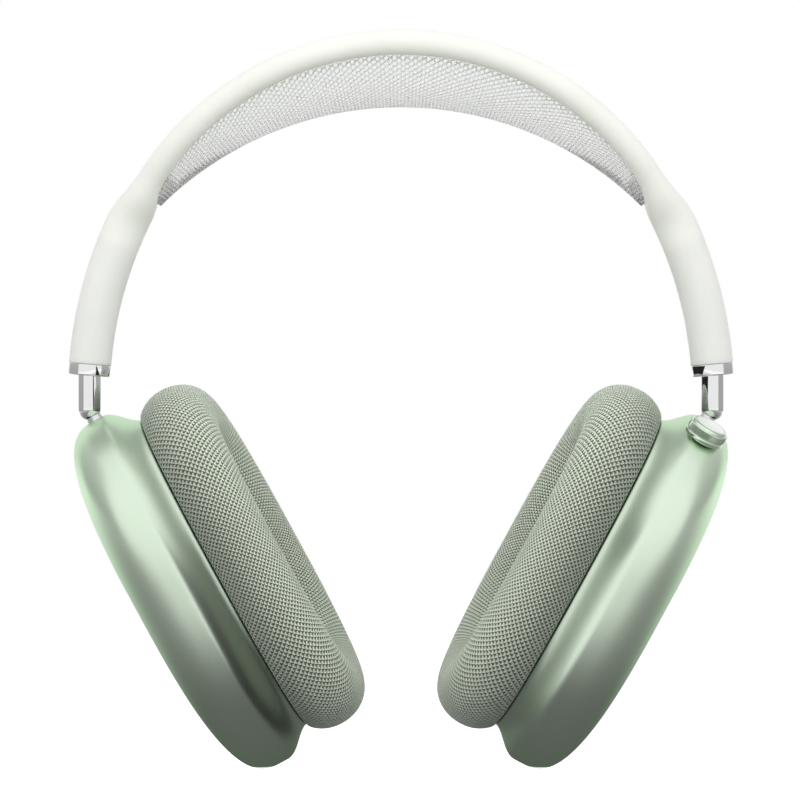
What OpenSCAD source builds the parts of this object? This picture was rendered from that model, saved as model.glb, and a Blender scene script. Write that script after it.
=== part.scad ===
// Over-ear headphones: a branching headband, two telescoping rods, two pivoting cups.
// Millimetres. The origin is the head rest, the lowest point of the canopy's middle.
// +Z is up, +X is the wearer's right, +Y is the way the wearer faces.

/* [Headband] */
// Radius of the two rails' centre line, seen from the front
rail_r = 76; // [72:0.5:80]
// Height of the rails' centre line above the head rest
rail_rise = 16.3; // [15:0.1:18]
// Angle from the top to where the rails become an arm, in degrees
rail_angle = 62; // [60:0.5:64]
// Thickness of a rail, measured towards the head
rail_h = 6.5; // [5.8:0.1:7.4]
// Width of a rail, front to back
rail_w = 7.2; // [6.4:0.1:8]
// Distance between the two rails' centre lines at the top
rail_spread = 42; // [36:1:48]
// Radius of an arm's centre line
arm_r = 105; // [98:1:115]
// Angle that an arm turns through, in degrees
arm_turn = 23.4; // [22:0.1:24]
// Diameter of an arm
arm_d = 10.8; // [10.6:0.1:12]
// Thickness of a steel bar inside a rail
bar_h = 3; // [2:0.1:3.6]
// Width of a steel bar inside a rail
bar_w = 3.6; // [2.4:0.1:4.4]

/* [Canopy] */
// Radius of the canopy's middle line
canopy_r = 86.4; // [82:0.2:92]
// Thickness of the knitted canopy
canopy_t = 1; // [0.6:0.1:1.4]
// How full the canopy hangs across: 2 is a plain sag
canopy_belly = 2.2; // [1.8:0.1:3]

/* [Telescoping rods] */
// Outer diameter of the steel tube inside an arm
tube_d = 9; // [8.8:0.05:9.1]
// Wall of that tube
tube_wall = 0.4; // [0.3:0.05:0.5]
// Length of that tube along the arm
tube_len = 29.6; // [28:0.1:31]
// Diameter of a rod
rod_d = 5.8; // [5:0.1:6.2]
// Length of a rod hidden in the arm
rod_hidden = 27.3; // [26.5:0.1:28]
// Height of the steel collar
collar_h = 2.9; // [2:0.1:4]
// Length of a rod shown below the collar, down to the elbow's centre
rod_shown = 8.5; // [7:0.5:14]
// Length of the guide bush
bush_len = 5; // [4:0.1:5]
// Height of the stop on top of a rod
stop_h = 2.1; // [1.5:0.1:2.1]

/* [Neck and ball] */
// Lean of a cup's long axis from the vertical, in degrees
lean = 28.6; // [24:0.1:32]
// Turn of a cup towards the back, in degrees
toe = 2.5; // [0:0.5:6]
// Diameter of the neck that enters the cup
neck_d = 4.2; // [3.6:0.1:4.6]
// Distance from the elbow's centre to the ball's centre
neck_len = 8.4; // [8:0.1:9.5]
// Diameter of the ball
ball_d = 9; // [8.4:0.1:9.4]
// Diameter of the two trunnions
trunnion_d = 3; // [2.4:0.1:3.4]
// Reach of a trunnion from the ball's centre
trunnion_reach = 9.4; // [9.2:0.1:10]

/* [Cup shell] */
// Length of the shell
shell_l = 99.1; // [96:0.1:104]
// Width of the shell, front to back
shell_w = 83.4; // [80:0.2:88]
// Depth of the shell, from the cushion to the crest of the dome
shell_depth = 23.6; // [23:0.1:25]
// Distance from the cushion to the widest line
ridge = 9.9; // [9.6:0.1:10.4]
// How far the neck next to the cushion is drawn in
waist = 5.6; // [4.5:0.1:6.2]
// Wall of the shell
wall = 1.5; // [1.2:0.1:1.7]
// Squareness of the outline: 2 is an ellipse
outline_e = 2.6; // [2.3:0.05:2.9]
// Squareness of the dome: 2 is an ellipse
dome_e = 3.1; // [2.8:0.05:3.6]

/* [Cushion] */
// Height of the cushion at its two ends
cushion_h = 17.8; // [16:0.1:20]
// Extra height of the front edge, and the drop of the back edge
cushion_wedge = 1.55; // [0:0.05:2.5]
// Width of the cushion's ring
ring_w = 20; // [18:0.5:22]
// How far the cushion's outline lies inside the shell's
cushion_inset = 1.4; // [1:0.1:2]
// Height of the cushion's widest line
cushion_belly = 7.6; // [7:0.1:8.4]
// Squareness of the cushion's crown: 2 is round
cushion_e = 2.2; // [2:0.1:2.6]
// Thickness of the cushion's plate
plate_t = 1.35; // [1:0.05:1.35]

/* [Inside a cup] */
// Thickness of the baffle
baffle_t = 2; // [1.6:0.1:2.4]
// Diameter of the driver
driver_d = 40; // [36:0.5:42]
// Depth of the driver's basket
driver_depth = 8; // [7:0.1:9]
// Diameter of the driver's magnet
magnet_d = 25; // [20:0.5:26]
// Diameter of a magnet that holds the cushion
hold_magnet_d = 4.8; // [4:0.1:5]
// Rings of holes in the driver's grille
grille_rings = 4; // [2:1:4]

/* [Crown and button] */
// Diameter of the crown
crown_d = 10.2; // [9:0.1:10.6]
// Height of the crown
crown_h = 4.2; // [3.8:0.1:5]
// Grooves round the crown
crown_grooves = 60; // [30:2:72]
// Diameter of the crown's bright cap
cap_d = 7.8; // [7:0.1:8]
// Diameter of the crown's shaft
shaft_d = 2.8; // [2.2:0.1:3]
// Travel of the crown and of the button
travel = 0.35; // [0.2:0.05:0.4]
// Length of the button
button_l = 13; // [10:0.5:15]
// Width of the button
button_w = 4.6; // [4:0.1:5]

/* [Hidden] */
$fn = 64;

// Clearances: running fits, gaps between seated faces, and room round moving shapes
run_fit = 0.05;
seat = 0.15;
room = 0.3;
eps = 0.01;
// How far a cut runs past the faces that it opens
past = 10;

// Colours
elastomer = [0.91, 0.93, 0.89];
steel = [0.78, 0.78, 0.79];
polished = [0.86, 0.86, 0.87];
anodised = [0.72, 0.81, 0.71];
knit = [0.66, 0.74, 0.63];
net = [0.82, 0.86, 0.81];
dark = [0.2, 0.21, 0.2];
plastic = [0.34, 0.37, 0.34];
board = [0.12, 0.32, 0.2];
copper = [0.72, 0.45, 0.28];
film = [0.5, 0.52, 0.5];
foil = [0.75, 0.76, 0.78];

// ---- Headband path ----

// Height of the rails' centre, and arc lengths from the top of the headband
rail_z = rail_rise - rail_r;
rail_len = rail_r * rail_angle * PI / 180;
arm_len = arm_r * arm_turn * PI / 180;
band_len = rail_len + arm_len;

// The arm's arc meets the rails' arc with no kink
arm_x = (rail_r - arm_r) * sin(rail_angle);
arm_z = rail_z + (rail_r - arm_r) * cos(rail_angle);
// Slope of the arm where it ends, from the vertical
end_slope = 90 - rail_angle - arm_turn;
end_x = arm_x + arm_r * cos(end_slope);
end_z = arm_z + arm_r * sin(end_slope);

// Past the rails' end they join, at the fork. They swell into the arm on the side of the
// head first, and on the outside, with the channel in them, a little later.
fork_past = 2.7;
swell_before = 9.3;
swell_after = 2.9;
late_before = 7.2;
late_after = 6.8;
fork_at = rail_len + fork_past;
swell_from = rail_len - swell_before;
late_from = rail_len - late_before;
late_to = rail_len + late_after;

function smooth(v) = v <= 0 ? 0 : v >= 1 ? 1 : v * v * (3 - 2 * v);
function swell(t) = smooth((abs(t) - swell_from) / (swell_before + swell_after));
function late_swell(t) = smooth((abs(t) - late_from) / (late_before + late_after));
function between(low, high, k) = low + (high - low) * k;

// Angle of the headband's outward direction from the vertical, at arc length t
function outward(t) = abs(t) <= rail_len
    ? abs(t) / rail_r * 180 / PI
    : rail_angle + (abs(t) - rail_len) / arm_r * 180 / PI;

// Half the distance between the two rails, at arc length t. They part as an ellipse does,
// but meet at a sharper angle.
branch_e = 0.7;
function apart(t) = abs(t) >= fork_at ? 0 : rail_spread / 2 * pow(1 - pow(t / fork_at, 2), branch_e);

// A point at arc length t, u outward from the centre line, y to the front
function band_point(t, u, y) = let (
    a = outward(t),
    on_rail = abs(t) <= rail_len,
    r = (on_rail ? rail_r : arm_r) + u,
    x0 = on_rail ? 0 : arm_x,
    z0 = on_rail ? rail_z : arm_z
) [sign(t) * (x0 + r * sin(a)), y, z0 + r * cos(a)];

// One rail's section at arc length t, of half heights outward and towards the head. Past
// the middle plane it is cut flat, so that the two halves join there into one arm.
function rail_section(t, half_out, half_in, half_w, sides) = [for (k = [0:sides - 1])
    let (a = 360 * k / sides, half_h = sin(a) > 0 ? half_out : half_in)
    band_point(t, half_h * sin(a), max(0, apart(t) + half_w * cos(a)))];

// Arc lengths of the sections: wide apart on the plain arcs, close at the fork
plain_step = 7.3;
fork_step = 1.6;
arm_step = 8.4;
function stations(reach) = let (
    rail = [for (t = [0:plain_step:swell_from]) t],
    fork = [for (t = [swell_from + fork_step:fork_step:late_to + fork_step]) t],
    arm = [for (t = [late_to + arm_step:arm_step:reach - fork_step]) t],
    half = concat(rail, fork, arm, [reach])
) concat([for (i = [len(half) - 1:-1:1]) -half[i]], half);

// Joins a front skin and its mirror image across the middle plane. Points on the plane
// are shared, and faces that lie in it are left out.
function front_points(rings) = [for (ring = rings, p = ring) p];
function both_points(front) = concat(front, [for (p = front) [p[0], -p[1], p[2]]]);
function twin(front, i) = front[i][1] == 0 ? i : len(front) + i;
function off_plane(front, f) = front[f[0]][1] + front[f[1]][1] + front[f[2]][1] > 0;
function both_faces(front, faces) = let (kept = [for (f = faces) if (off_plane(front, f)) f])
    concat(kept, [for (f = kept) [twin(front, f[2]), twin(front, f[1]), twin(front, f[0])]]);

// Faces of a tube of rings, from point number first, turned inside out if inner is true
function tube_faces(first, count, sides, inner) = [
    for (i = [0:count - 2], k = [0:sides - 1])
    let (
        a = first + i * sides + k,
        b = first + i * sides + (k + 1) % sides,
        c = b + sides,
        d = a + sides
    )
    each inner ? [[a, c, b], [a, d, c]] : [[a, b, c], [a, c, d]]
];

// Faces of a flat end, as a fan from the section's top point
function end_faces(first, sides, flip) = [
    for (k = [0:sides - 1])
    let (top = first + sides / 4, a = first + k, b = first + (k + 1) % sides)
    if (top != a && top != b) flip ? [top, a, b] : [top, b, a]
];

// Faces of a ring-shaped end between an outer and an inner section
function rim_faces(outer, outer_sides, inner, inner_sides, flip) = [
    for (k = [0:outer_sides - 1])
    let (
        a = outer + k,
        b = outer + (k + 1) % outer_sides,
        near = floor(k * inner_sides / outer_sides + 0.5),
        next = floor((k + 1) * inner_sides / outer_sides + 0.5),
        c = inner + near % inner_sides,
        d = inner + next % inner_sides
    )
    each concat(flip ? [[a, b, c]] : [[b, a, c]], near == next ? [] : flip ? [[b, d, c]] : [[d, b, c]])
];

// Half heights and widths of the cover, of the channel in it, and of the frame
bar_room = 0.1;
channel_h = bar_h / 2 + bar_room;
channel_w = bar_w / 2 + bar_room;
channel_sides = 8;
// The tube's seat in the channel touches the flats of the channel's eight sides
channel_r = (tube_d / 2 + bar_room) / cos(180 / channel_sides);
cover_sides = 20;

function cover_out(t) = between(rail_h / 2, arm_d / 2, late_swell(t));
function cover_h(t) = between(rail_h / 2, arm_d / 2, swell(t));
function cover_w(t) = between(rail_w / 2, arm_d / 2, swell(t));
function channel_hh(t) = between(channel_h, channel_r, late_swell(t));
function channel_ww(t) = between(channel_w, channel_r, late_swell(t));
function channel_section(t, inset) = let (h = channel_hh(t) - inset, w = channel_ww(t) - inset)
    rail_section(t, h, h, w, channel_sides);

module headband_cover() {
    s = stations(band_len);
    outer = [for (t = s) rail_section(t, cover_out(t), cover_h(t), cover_w(t), cover_sides)];
    inner = [for (t = s) channel_section(t, 0)];
    front = concat(front_points(outer), front_points(inner));
    inner_first = len(s) * cover_sides;
    outer_last = inner_first - cover_sides;
    inner_last = len(front) - channel_sides;
    faces = concat(
        tube_faces(0, len(s), cover_sides, false),
        tube_faces(inner_first, len(s), channel_sides, true),
        rim_faces(0, cover_sides, inner_first, channel_sides, false),
        rim_faces(outer_last, cover_sides, inner_last, channel_sides, true)
    );
    color(elastomer) polyhedron(both_points(front), both_faces(front, faces));
}

module headband_frame() {
    s = stations(band_len - tube_len - seat);
    front = front_points([for (t = s) channel_section(t, bar_room)]);
    faces = concat(
        tube_faces(0, len(s), channel_sides, false),
        end_faces(0, channel_sides, false),
        end_faces(len(front) - channel_sides, channel_sides, true)
    );
    color(steel) polyhedron(both_points(front), both_faces(front, faces));
}

// ---- Canopy ----

// The canopy's edge lies along the rails' lower inner side
canopy_grip = 38;
canopy_short = 5.2;
canopy_end = fork_at - canopy_short;
canopy_gap = 0.2;
canopy_across = 12;
canopy_along = 26;
canopy_z = -canopy_r;

// Distance from the rails' centre to the canopy's middle line, in direction a
function sling_r(a) = let (drop = rail_z - canopy_z)
    sqrt(pow(canopy_r, 2) - pow(drop * sin(a), 2)) - drop * cos(a);

// Where the canopy's upper edge is held: distance from the rails' centre, and half width
function edge_r(t) = rail_r - (cover_h(t) + canopy_gap) * sin(canopy_grip);
function edge_y(t) = apart(t) - (cover_w(t) + canopy_gap) * cos(canopy_grip);

function canopy_point(t, v, top) = let (
    a = outward(t),
    edge = edge_r(t) - canopy_t,
    sag = max(0, edge - sling_r(a)),
    r = edge - sag * (1 - pow(abs(v), canopy_belly)) + top * canopy_t
) [sign(t) * r * sin(a), edge_y(t) * v, rail_z + r * cos(a)];

module canopy_mesh() {
    rows = canopy_along + 1;
    cols = canopy_across + 1;
    function at(i, j, top) = canopy_point(
        canopy_end * (2 * i / canopy_along - 1), 2 * j / canopy_across - 1, top);
    function id(i, j, top) = (top * rows + i) * cols + j;
    points = [for (top = [0, 1], i = [0:rows - 1], j = [0:cols - 1]) at(i, j, top)];
    faces = concat(
        [for (i = [0:rows - 2], j = [0:cols - 2]) each [
            [id(i, j, 1), id(i, j + 1, 1), id(i + 1, j + 1, 1)],
            [id(i, j, 1), id(i + 1, j + 1, 1), id(i + 1, j, 1)],
            [id(i, j, 0), id(i + 1, j + 1, 0), id(i, j + 1, 0)],
            [id(i, j, 0), id(i + 1, j, 0), id(i + 1, j + 1, 0)]
        ]],
        [for (i = [0:rows - 2]) each [
            [id(i, 0, 0), id(i, 0, 1), id(i + 1, 0, 1)],
            [id(i, 0, 0), id(i + 1, 0, 1), id(i + 1, 0, 0)],
            [id(i, cols - 1, 0), id(i + 1, cols - 1, 1), id(i, cols - 1, 1)],
            [id(i, cols - 1, 0), id(i + 1, cols - 1, 0), id(i + 1, cols - 1, 1)]
        ]],
        [for (j = [0:cols - 2]) each [
            [id(0, j, 0), id(0, j + 1, 1), id(0, j, 1)],
            [id(0, j, 0), id(0, j + 1, 0), id(0, j + 1, 1)],
            [id(rows - 1, j, 0), id(rows - 1, j, 1), id(rows - 1, j + 1, 1)],
            [id(rows - 1, j, 0), id(rows - 1, j + 1, 1), id(rows - 1, j + 1, 0)]
        ]]
    );
    color(net) polyhedron(points, faces);
}

// ---- Arms and rods (right side; the left is its mirror image) ----

module right() { children(); }
module left() { mirror([1, 0, 0]) children(); }

// A round bar of radius r bent along the arm, from arc length from to to above its end
arm_facets = 240;
module arm_bar(r, from, to) {
    per_mm = 180 / PI / arm_r;
    translate([arm_x, 0, arm_z]) rotate([90, 0, 0]) rotate([0, 0, end_slope + from * per_mm])
        rotate_extrude(angle = (to - from) * per_mm, $fn = arm_facets) translate([arm_r, 0]) circle(r);
}

// The rod is upright, under the middle of the collar
rod_x = end_x + collar_h / 2 * sin(end_slope);
collar_low = end_z - collar_h;
elbow_z = collar_low - rod_shown;
module along_rod(from, to, r) { translate([rod_x, 0, from]) cylinder(h = to - from, r = r); }

module arm_tube() {
    color(steel) difference() {
        arm_bar(tube_d / 2, 0, tube_len);
        arm_bar(tube_d / 2 - tube_wall, -past, tube_len + past);
    }
}

module arm_bush() {
    color(plastic) difference() {
        arm_bar(tube_d / 2 - tube_wall - run_fit, 0, bush_len);
        along_rod(end_z - past, end_z + bush_len + past, rod_d / 2 + run_fit);
    }
}

// The collar's edges are broken by a small chamfer
collar_edge = 0.25;
collar_seat = 0.03;
module arm_collar() {
    r = arm_d / 2;
    barrel = collar_h - 2 * collar_edge - collar_seat;
    color(polished) difference() {
        translate([end_x, 0, end_z]) rotate([0, -end_slope, 0]) translate([0, 0, -collar_h]) {
            cylinder(h = collar_edge, r1 = r - collar_edge, r2 = r);
            translate([0, 0, collar_edge]) cylinder(h = barrel, r = r);
            translate([0, 0, collar_edge + barrel]) cylinder(h = collar_edge, r1 = r, r2 = r - collar_edge);
        }
        along_rod(collar_low - past, end_z + past, rod_d / 2 + 2 * run_fit);
    }
}

// Places what is drawn along +Z on the neck's axis, with the ball's centre at the origin
ball_x = rod_x - neck_len * sin(lean);
ball_z = elbow_z - neck_len * cos(lean);
module at_ball() { translate([ball_x, 0, ball_z]) rotate([0, lean, 0]) children(); }

neck_below = 3.5;
clip_h = 0.8;
groove_w = 0.2;
groove_at = 5.95;
// Above this height over the arm's end the rod is relieved, to clear the curved tube
relief_from = 2;
module arm_rod() {
    neck_tail = neck_below + 2 * clip_h;
    color(polished) {
        along_rod(elbow_z, end_z + relief_from, rod_d / 2);
        intersection() {
            along_rod(end_z + relief_from / 2, end_z + rod_hidden, rod_d / 2);
            arm_bar(tube_d / 2 - tube_wall - room + run_fit, 0, tube_len);
        }
        translate([rod_x, 0, elbow_z]) sphere(rod_d / 2);
        at_ball() difference() {
            translate([0, 0, -neck_tail]) cylinder(h = neck_tail + neck_len, d = neck_d);
            translate([0, 0, groove_at]) difference() {
                cylinder(h = groove_w, d = rod_d);
                translate([0, 0, -groove_w]) cylinder(h = 3 * groove_w, d = neck_d - 2 * groove_w);
            }
        }
    }
}

stop_w = 3;
stop_t = 1.1;
module rod_stop() {
    from_x = rod_x - rod_d / 2 - stop_t - run_fit / 2;
    from_z = end_z + rod_hidden - stop_h;
    color(plastic) translate([from_x, -stop_w / 2, from_z]) cube([stop_t, stop_w, stop_h]);
}

clip_rim = 0.9;
module hinge_clip() {
    color(steel) at_ball() translate([0, 0, -neck_below - clip_h - run_fit]) difference() {
        cylinder(h = clip_h, d = neck_d + 2 * clip_rim);
        translate([0, 0, -past]) cylinder(h = clip_h + 2 * past, d = neck_d + run_fit);
    }
}

// ---- Frame of a cup: +X away from the head, +Z along the cup, +Y to the front ----

// The neck enters the middle of the ridge; the ball lies far enough below the surface to
// be covered by the shell
ball_cover = 0.5;
socket_r = ball_d / 2 + room;
ball_up = shell_l / 2 - ball_cover - socket_r;
neck_past = 0.65;
neck_in = ridge + neck_past;
module at_pivot() { at_ball() rotate([0, 0, toe]) children(); }
module at_cup() { at_pivot() translate([-neck_in, 0, -ball_up]) children(); }

module hinge_ball() {
    color(steel) at_pivot() difference() {
        union() {
            sphere(d = ball_d);
            for (side = [-90, 90]) rotate([side, 0, 0]) cylinder(h = trunnion_reach, d = trunnion_d);
        }
        translate([0, 0, -ball_d]) cylinder(h = 2 * ball_d, d = neck_d + 2 * run_fit);
        translate([-ball_d, -ball_d, run_fit - neck_below - ball_d])
            cube([2 * ball_d, 2 * ball_d, ball_d]);
    }
}

ear_at = 5.4;
ear_t = 2;
ear_r = 3.3;
bracket_drop = 8.2;
module hinge_bracket() {
    half = ear_at + ear_t;
    color(plastic) at_pivot() difference() {
        union() {
            for (y = [-half, ear_at]) translate([0, y, 0]) {
                rotate([-90, 0, 0]) cylinder(h = ear_t, r = ear_r);
                translate([-ear_r, 0, -bracket_drop]) cube([2 * ear_r, ear_t, bracket_drop]);
            }
            translate([-ear_r, -half, -bracket_drop]) cube([2 * ear_r, 2 * half, ear_t]);
        }
        translate([0, -past, 0]) rotate([-90, 0, 0]) cylinder(h = 2 * past, d = trunnion_d + 2 * run_fit);
    }
}

spring_t = 0.8;
module tilt_spring() {
    from = ear_at + ear_t + seat;
    color(copper) at_pivot() translate([0, from, 0]) rotate([-90, 0, 0]) difference() {
        cylinder(h = trunnion_reach - from - seat, d = trunnion_d + 2 * (spring_t + run_fit));
        translate([0, 0, -past]) cylinder(h = 2 * past, d = trunnion_d + 2 * run_fit);
    }
}

// ---- Cup shell ----

outline_points = 40;
neck_rings = 5;
neck_reach = 8.5;
// The dome's rings lie closest where it curves most, next to the widest line
dome_rings = 9;
dome_spacing = 1.6;
function power(v, e) = sign(v) * pow(abs(v), 2 / e);

// A squared-off oval of half length a and half width b, at depth x
function oval(x, a, b, e, count) = [for (k = [0:count - 1])
    let (angle = 360 * k / count)
    [x, b * power(cos(angle), e), a * power(sin(angle), e)]];

// The outline of the shell's skin, inset from the outside, from the cushion to the crest
function shell_rings(inset) = let (
    a = shell_l / 2 - inset,
    b = shell_w / 2 - inset,
    rise = shell_depth - inset - ridge,
    neck = [for (i = [0:neck_rings]) let (
            x = neck_reach * i / neck_rings,
            drawn = waist * (1 - smooth(x / neck_reach)))
        oval(x, a - drawn, b - drawn, outline_e, outline_points)],
    dome = [for (i = [0:dome_rings - 1]) let (
            angle = 90 * pow(i / dome_rings, dome_spacing),
            grow = power(cos(angle), dome_e))
        oval(ridge + rise * power(sin(angle), dome_e), a * grow, b * grow, outline_e, outline_points)]
) concat(neck, dome);

// A solid through a row of rings, closed flat at both ends
module skin(rings) {
    n = len(rings[0]);
    last = len(rings) - 1;
    points = [for (ring = rings, p = ring) p];
    faces = concat(
        [for (i = [0:last - 1], k = [0:n - 1]) let (a = i * n + k, b = i * n + (k + 1) % n) each
            [[a, b + n, b], [a, a + n, b + n]]],
        [[for (k = [0:n - 1]) k], [for (k = [n - 1:-1:0]) last * n + k]]
    );
    polyhedron(points, faces);
}
function reversed(v) = [for (i = [len(v) - 1:-1:0]) v[i]];

// Crown and button sit on the right cup's top edge, square to the outline. The crown
// stands in a flat-bottomed recess.
crown_past = 0.5;
crown_x = ridge + crown_past;
crown_y = -23;
crown_sink = 0.9;
crown_tilt = 17.5;
button_y = 20.5;
button_tilt = -21;
function edge_z(y) = shell_l / 2 * pow(1 - pow(abs(y) / (shell_w / 2), outline_e), 1 / outline_e);
module at_crown() {
    translate([crown_x, crown_y, edge_z(crown_y) - crown_sink]) rotate([crown_tilt, 0, 0]) children();
}
module at_button() {
    translate([ridge, button_y, edge_z(button_y)]) rotate([button_tilt, 0, 0]) children();
}

// A bar with round ends, length l along Y, width w along X
module lozenge(l, w, h) {
    translate([-w / 2, -(l - w) / 2, 0]) cube([w, l - w, h]);
    for (s = [-1, 1]) translate([0, s * (l - w) / 2, 0]) cylinder(h = h, d = w);
}

port_l = 8.8;
port_w = 3.1;
port_x = ridge + 1;
// The neck's hole is drawn out towards the dome, for the cup to tilt
slot_reach = 2.6;

module cup_shell(is_right) {
    color(anodised) at_cup() difference() {
        skin(concat(reversed(shell_rings(0)), shell_rings(wall)));
        translate([neck_in, 0, ball_up]) {
            sphere(socket_r);
            cylinder(h = past, d = neck_d + 2 * room);
            translate([slot_reach, 0, 0]) cylinder(h = past, d = neck_d + 2 * room);
            translate([0, -neck_d / 2 - room, 0]) cube([slot_reach, neck_d + 2 * room, past]);
        }
        if (is_right) {
            at_crown() cylinder(h = past, d = crown_d + 2 * room);
            at_crown() translate([0, 0, -past]) cylinder(h = 2 * past, d = housing_d + 2 * seat);
            at_button() translate([0, 0, -past])
                lozenge(button_l + 2 * room, button_w + 2 * room, 2 * past);
            translate([port_x, 0, -shell_l / 2 - past]) lozenge(port_l, port_w, past + 2 * wall);
        }
    }
}

// ---- Baffle and driver ----

baffle_l = shell_l / 2 - waist - wall - seat;
baffle_w = shell_w / 2 - waist - wall - seat;
post_d = 3.6;
post_y = 19;
post_z = 24;
screw_d = 1.8;
screw_l = 7.5;
head_d = 3.4;
head_h = 1;
magnet_h = 1.2;
magnet_count = 8;
magnet_inset = 4.5;
board_x = 13.4;
board_t = 1.2;

flat_points = 64;
module flat_oval(x, t, l, w, e) {
    translate([x, 0, 0]) rotate([90, 0, 90]) linear_extrude(t)
        polygon([for (p = oval(0, l, w, e, flat_points)) [p[1], p[2]]]);
}
module along_x(from, to, d) { translate([from, 0, 0]) rotate([0, 90, 0]) cylinder(h = to - from, d = d); }
module at_posts() { for (y = [-post_y, post_y], z = [-post_z, post_z]) translate([0, y, z]) children(); }
module at_magnets() {
    l = baffle_l - magnet_inset;
    w = baffle_w - magnet_inset;
    for (k = [0:magnet_count - 1]) let (a = 360 * (k + 0.5) / magnet_count)
        translate([0, w * power(cos(a), outline_e), l * power(sin(a), outline_e)]) children();
}

module cup_baffle() {
    color(plastic) at_cup() difference() {
        union() {
            flat_oval(seat, baffle_t, baffle_l, baffle_w, outline_e);
            at_posts() along_x(seat, board_x - seat / 2, post_d);
        }
        along_x(-past, past, driver_d + 2 * seat);
        at_magnets() along_x(-past, seat + magnet_h, hold_magnet_d + 2 * run_fit);
        at_posts() along_x(-past, seat + head_h, head_d + 2 * run_fit);
        at_posts() along_x(-past, screw_l + 2 * room, screw_d + 2 * run_fit);
    }
}

module baffle_screws() {
    color(steel) at_cup() at_posts() {
        along_x(seat, seat + head_h, head_d);
        along_x(seat, screw_l, screw_d);
    }
}

module cushion_magnets() {
    color(steel) at_cup() at_magnets() along_x(seat, seat + magnet_h, hold_magnet_d);
}

grille_t = 0.4;
grille_x = seat;
basket_x = grille_x + grille_t + run_fit;
basket_wall = 1.1;
grille_pitch = 4.1;
grille_hole_d = 2.2;
module driver_grille() {
    color(dark) at_cup() difference() {
        along_x(grille_x, grille_x + grille_t, driver_d);
        for (ring = [0:grille_rings]) let (holes = max(1, 6 * ring))
            for (k = [0:holes - 1]) rotate([360 * k / holes, 0, 0]) translate([0, 0, ring * grille_pitch])
                along_x(-past, past, grille_hole_d, $fn = 24);
    }
}

// The basket is a pan with a hole for the magnet and a ring of vents in its back
basket_back = basket_x + driver_depth;
vent_d = 3.2;
vent_count = 6;
module driver_basket() {
    color(dark) at_cup() difference() {
        along_x(basket_x, basket_back, driver_d);
        along_x(-past, basket_back - basket_wall, driver_d - 2 * basket_wall);
        along_x(-past, basket_back + past, magnet_d + 2 * run_fit);
        for (k = [0:vent_count - 1]) rotate([360 * k / vent_count, 0, 0])
            translate([0, 0, (driver_d + magnet_d) / 4]) along_x(0, basket_back + past, vent_d);
    }
}

magnet_in = 3;
magnet_back = 1;
module driver_magnet() {
    color(steel) at_cup() difference() {
        along_x(basket_back - magnet_in, board_x - seat, magnet_d);
        along_x(-past, basket_back - magnet_back, magnet_d / 2);
    }
}

// The diaphragm's profile: a shallow dome inside the coil, a cone, and a flat surround
diaphragm_t = 0.3;
diaphragm_at = 1.2;
dome_rise = 1.4;
cone_rise = 1.5;
surround_w = 3;
coil_edge = 1;
module driver_diaphragm() {
    edge = driver_d / 2 - basket_wall - run_fit;
    coil = magnet_d / 4;
    dome = [[0, -dome_rise / 2], [coil, dome_rise / 2]];
    front = concat(dome, [[coil + coil_edge, cone_rise], [edge - surround_w, 0], [edge, 0]]);
    back = [for (p = reversed(front)) [p[0], p[1] + diaphragm_t]];
    color(film) at_cup() translate([basket_x + diaphragm_at, 0, 0]) rotate([0, 90, 0])
        rotate_extrude() polygon(concat(front, back));
}

// Chips on the board's back: place across, place along, width, length, height
board_l = 56;
board_w = 42;
chips = [[-6, 15, 12, 10, 1.1], [8, -24, 8, 8, 0.9], [-16, -24, 7, 9, 1.4]];
chips_h = max([for (c = chips) c[4]]);
module logic_board() {
    color(board) at_cup() {
        translate([board_x, -board_w / 2, -board_l / 2]) cube([board_t, board_w, board_l]);
        for (c = chips) translate([board_x + board_t, c[0], c[1]]) cube([c[4], c[2], c[3]]);
    }
}

// ---- Cushion ----

ring_points = 48;
crown_steps = 8;
under_steps = 3;
cushion_l = shell_l / 2 - cushion_inset;
cushion_w = shell_w / 2 - cushion_inset;
plate_x = -seat - plate_t;
plate_inset = 5.6;

// The ring's section, each point as its distance in from the outer side, its height, and
// its share of the crown. It is round below the widest line, down to a flat base that
// wraps the plate's edge and almost meets the shell.
under_r = ring_w / 2;
base_h = 2 * run_fit - plate_x;
wrap_h = room;
wrap_in = plate_inset - 2 * run_fit;
inner_turn = asin((cushion_belly - base_h) / under_r);
outer_turn = asin((cushion_belly - wrap_h) / under_r);
function crowned(a) = [under_r * (1 - power(cos(a), cushion_e)), cushion_belly, power(sin(a), cushion_e)];
function under(a) = [under_r * (1 - cos(a)), cushion_belly - under_r * sin(a), 0];
cushion_section = concat(
    [for (k = [0:crown_steps]) crowned(180 * k / crown_steps)],
    [under(180 - inner_turn / 2), under(180 - inner_turn)],
    [[wrap_in, base_h, 0], [wrap_in, wrap_h, 0]],
    [for (k = [under_steps:-1:1]) under(outer_turn * k / under_steps)]
);

// A point of the section, carried round the ring. The crown is higher at the front.
function cushion_point(turn, s) = let (
    y = (cushion_w - s[0]) * power(cos(turn), outline_e),
    z = (cushion_l - s[0]) * power(sin(turn), outline_e),
    crest = cushion_h + cushion_wedge * y / (cushion_w - under_r)
) [-s[1] - (crest - cushion_belly) * s[2], y, z];

module cushion() {
    n = len(cushion_section);
    points = [for (i = [0:ring_points - 1], s = cushion_section)
        cushion_point(360 * i / ring_points, s)];
    faces = [for (i = [0:ring_points - 1], k = [0:n - 1]) let (
            j = (i + 1) % ring_points,
            m = (k + 1) % n,
            a = i * n + k,
            b = i * n + m,
            c = j * n + m,
            d = j * n + k)
        each [[a, b, c], [a, c, d]]];
    color(knit) at_cup() polyhedron(points, faces);
}

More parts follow.
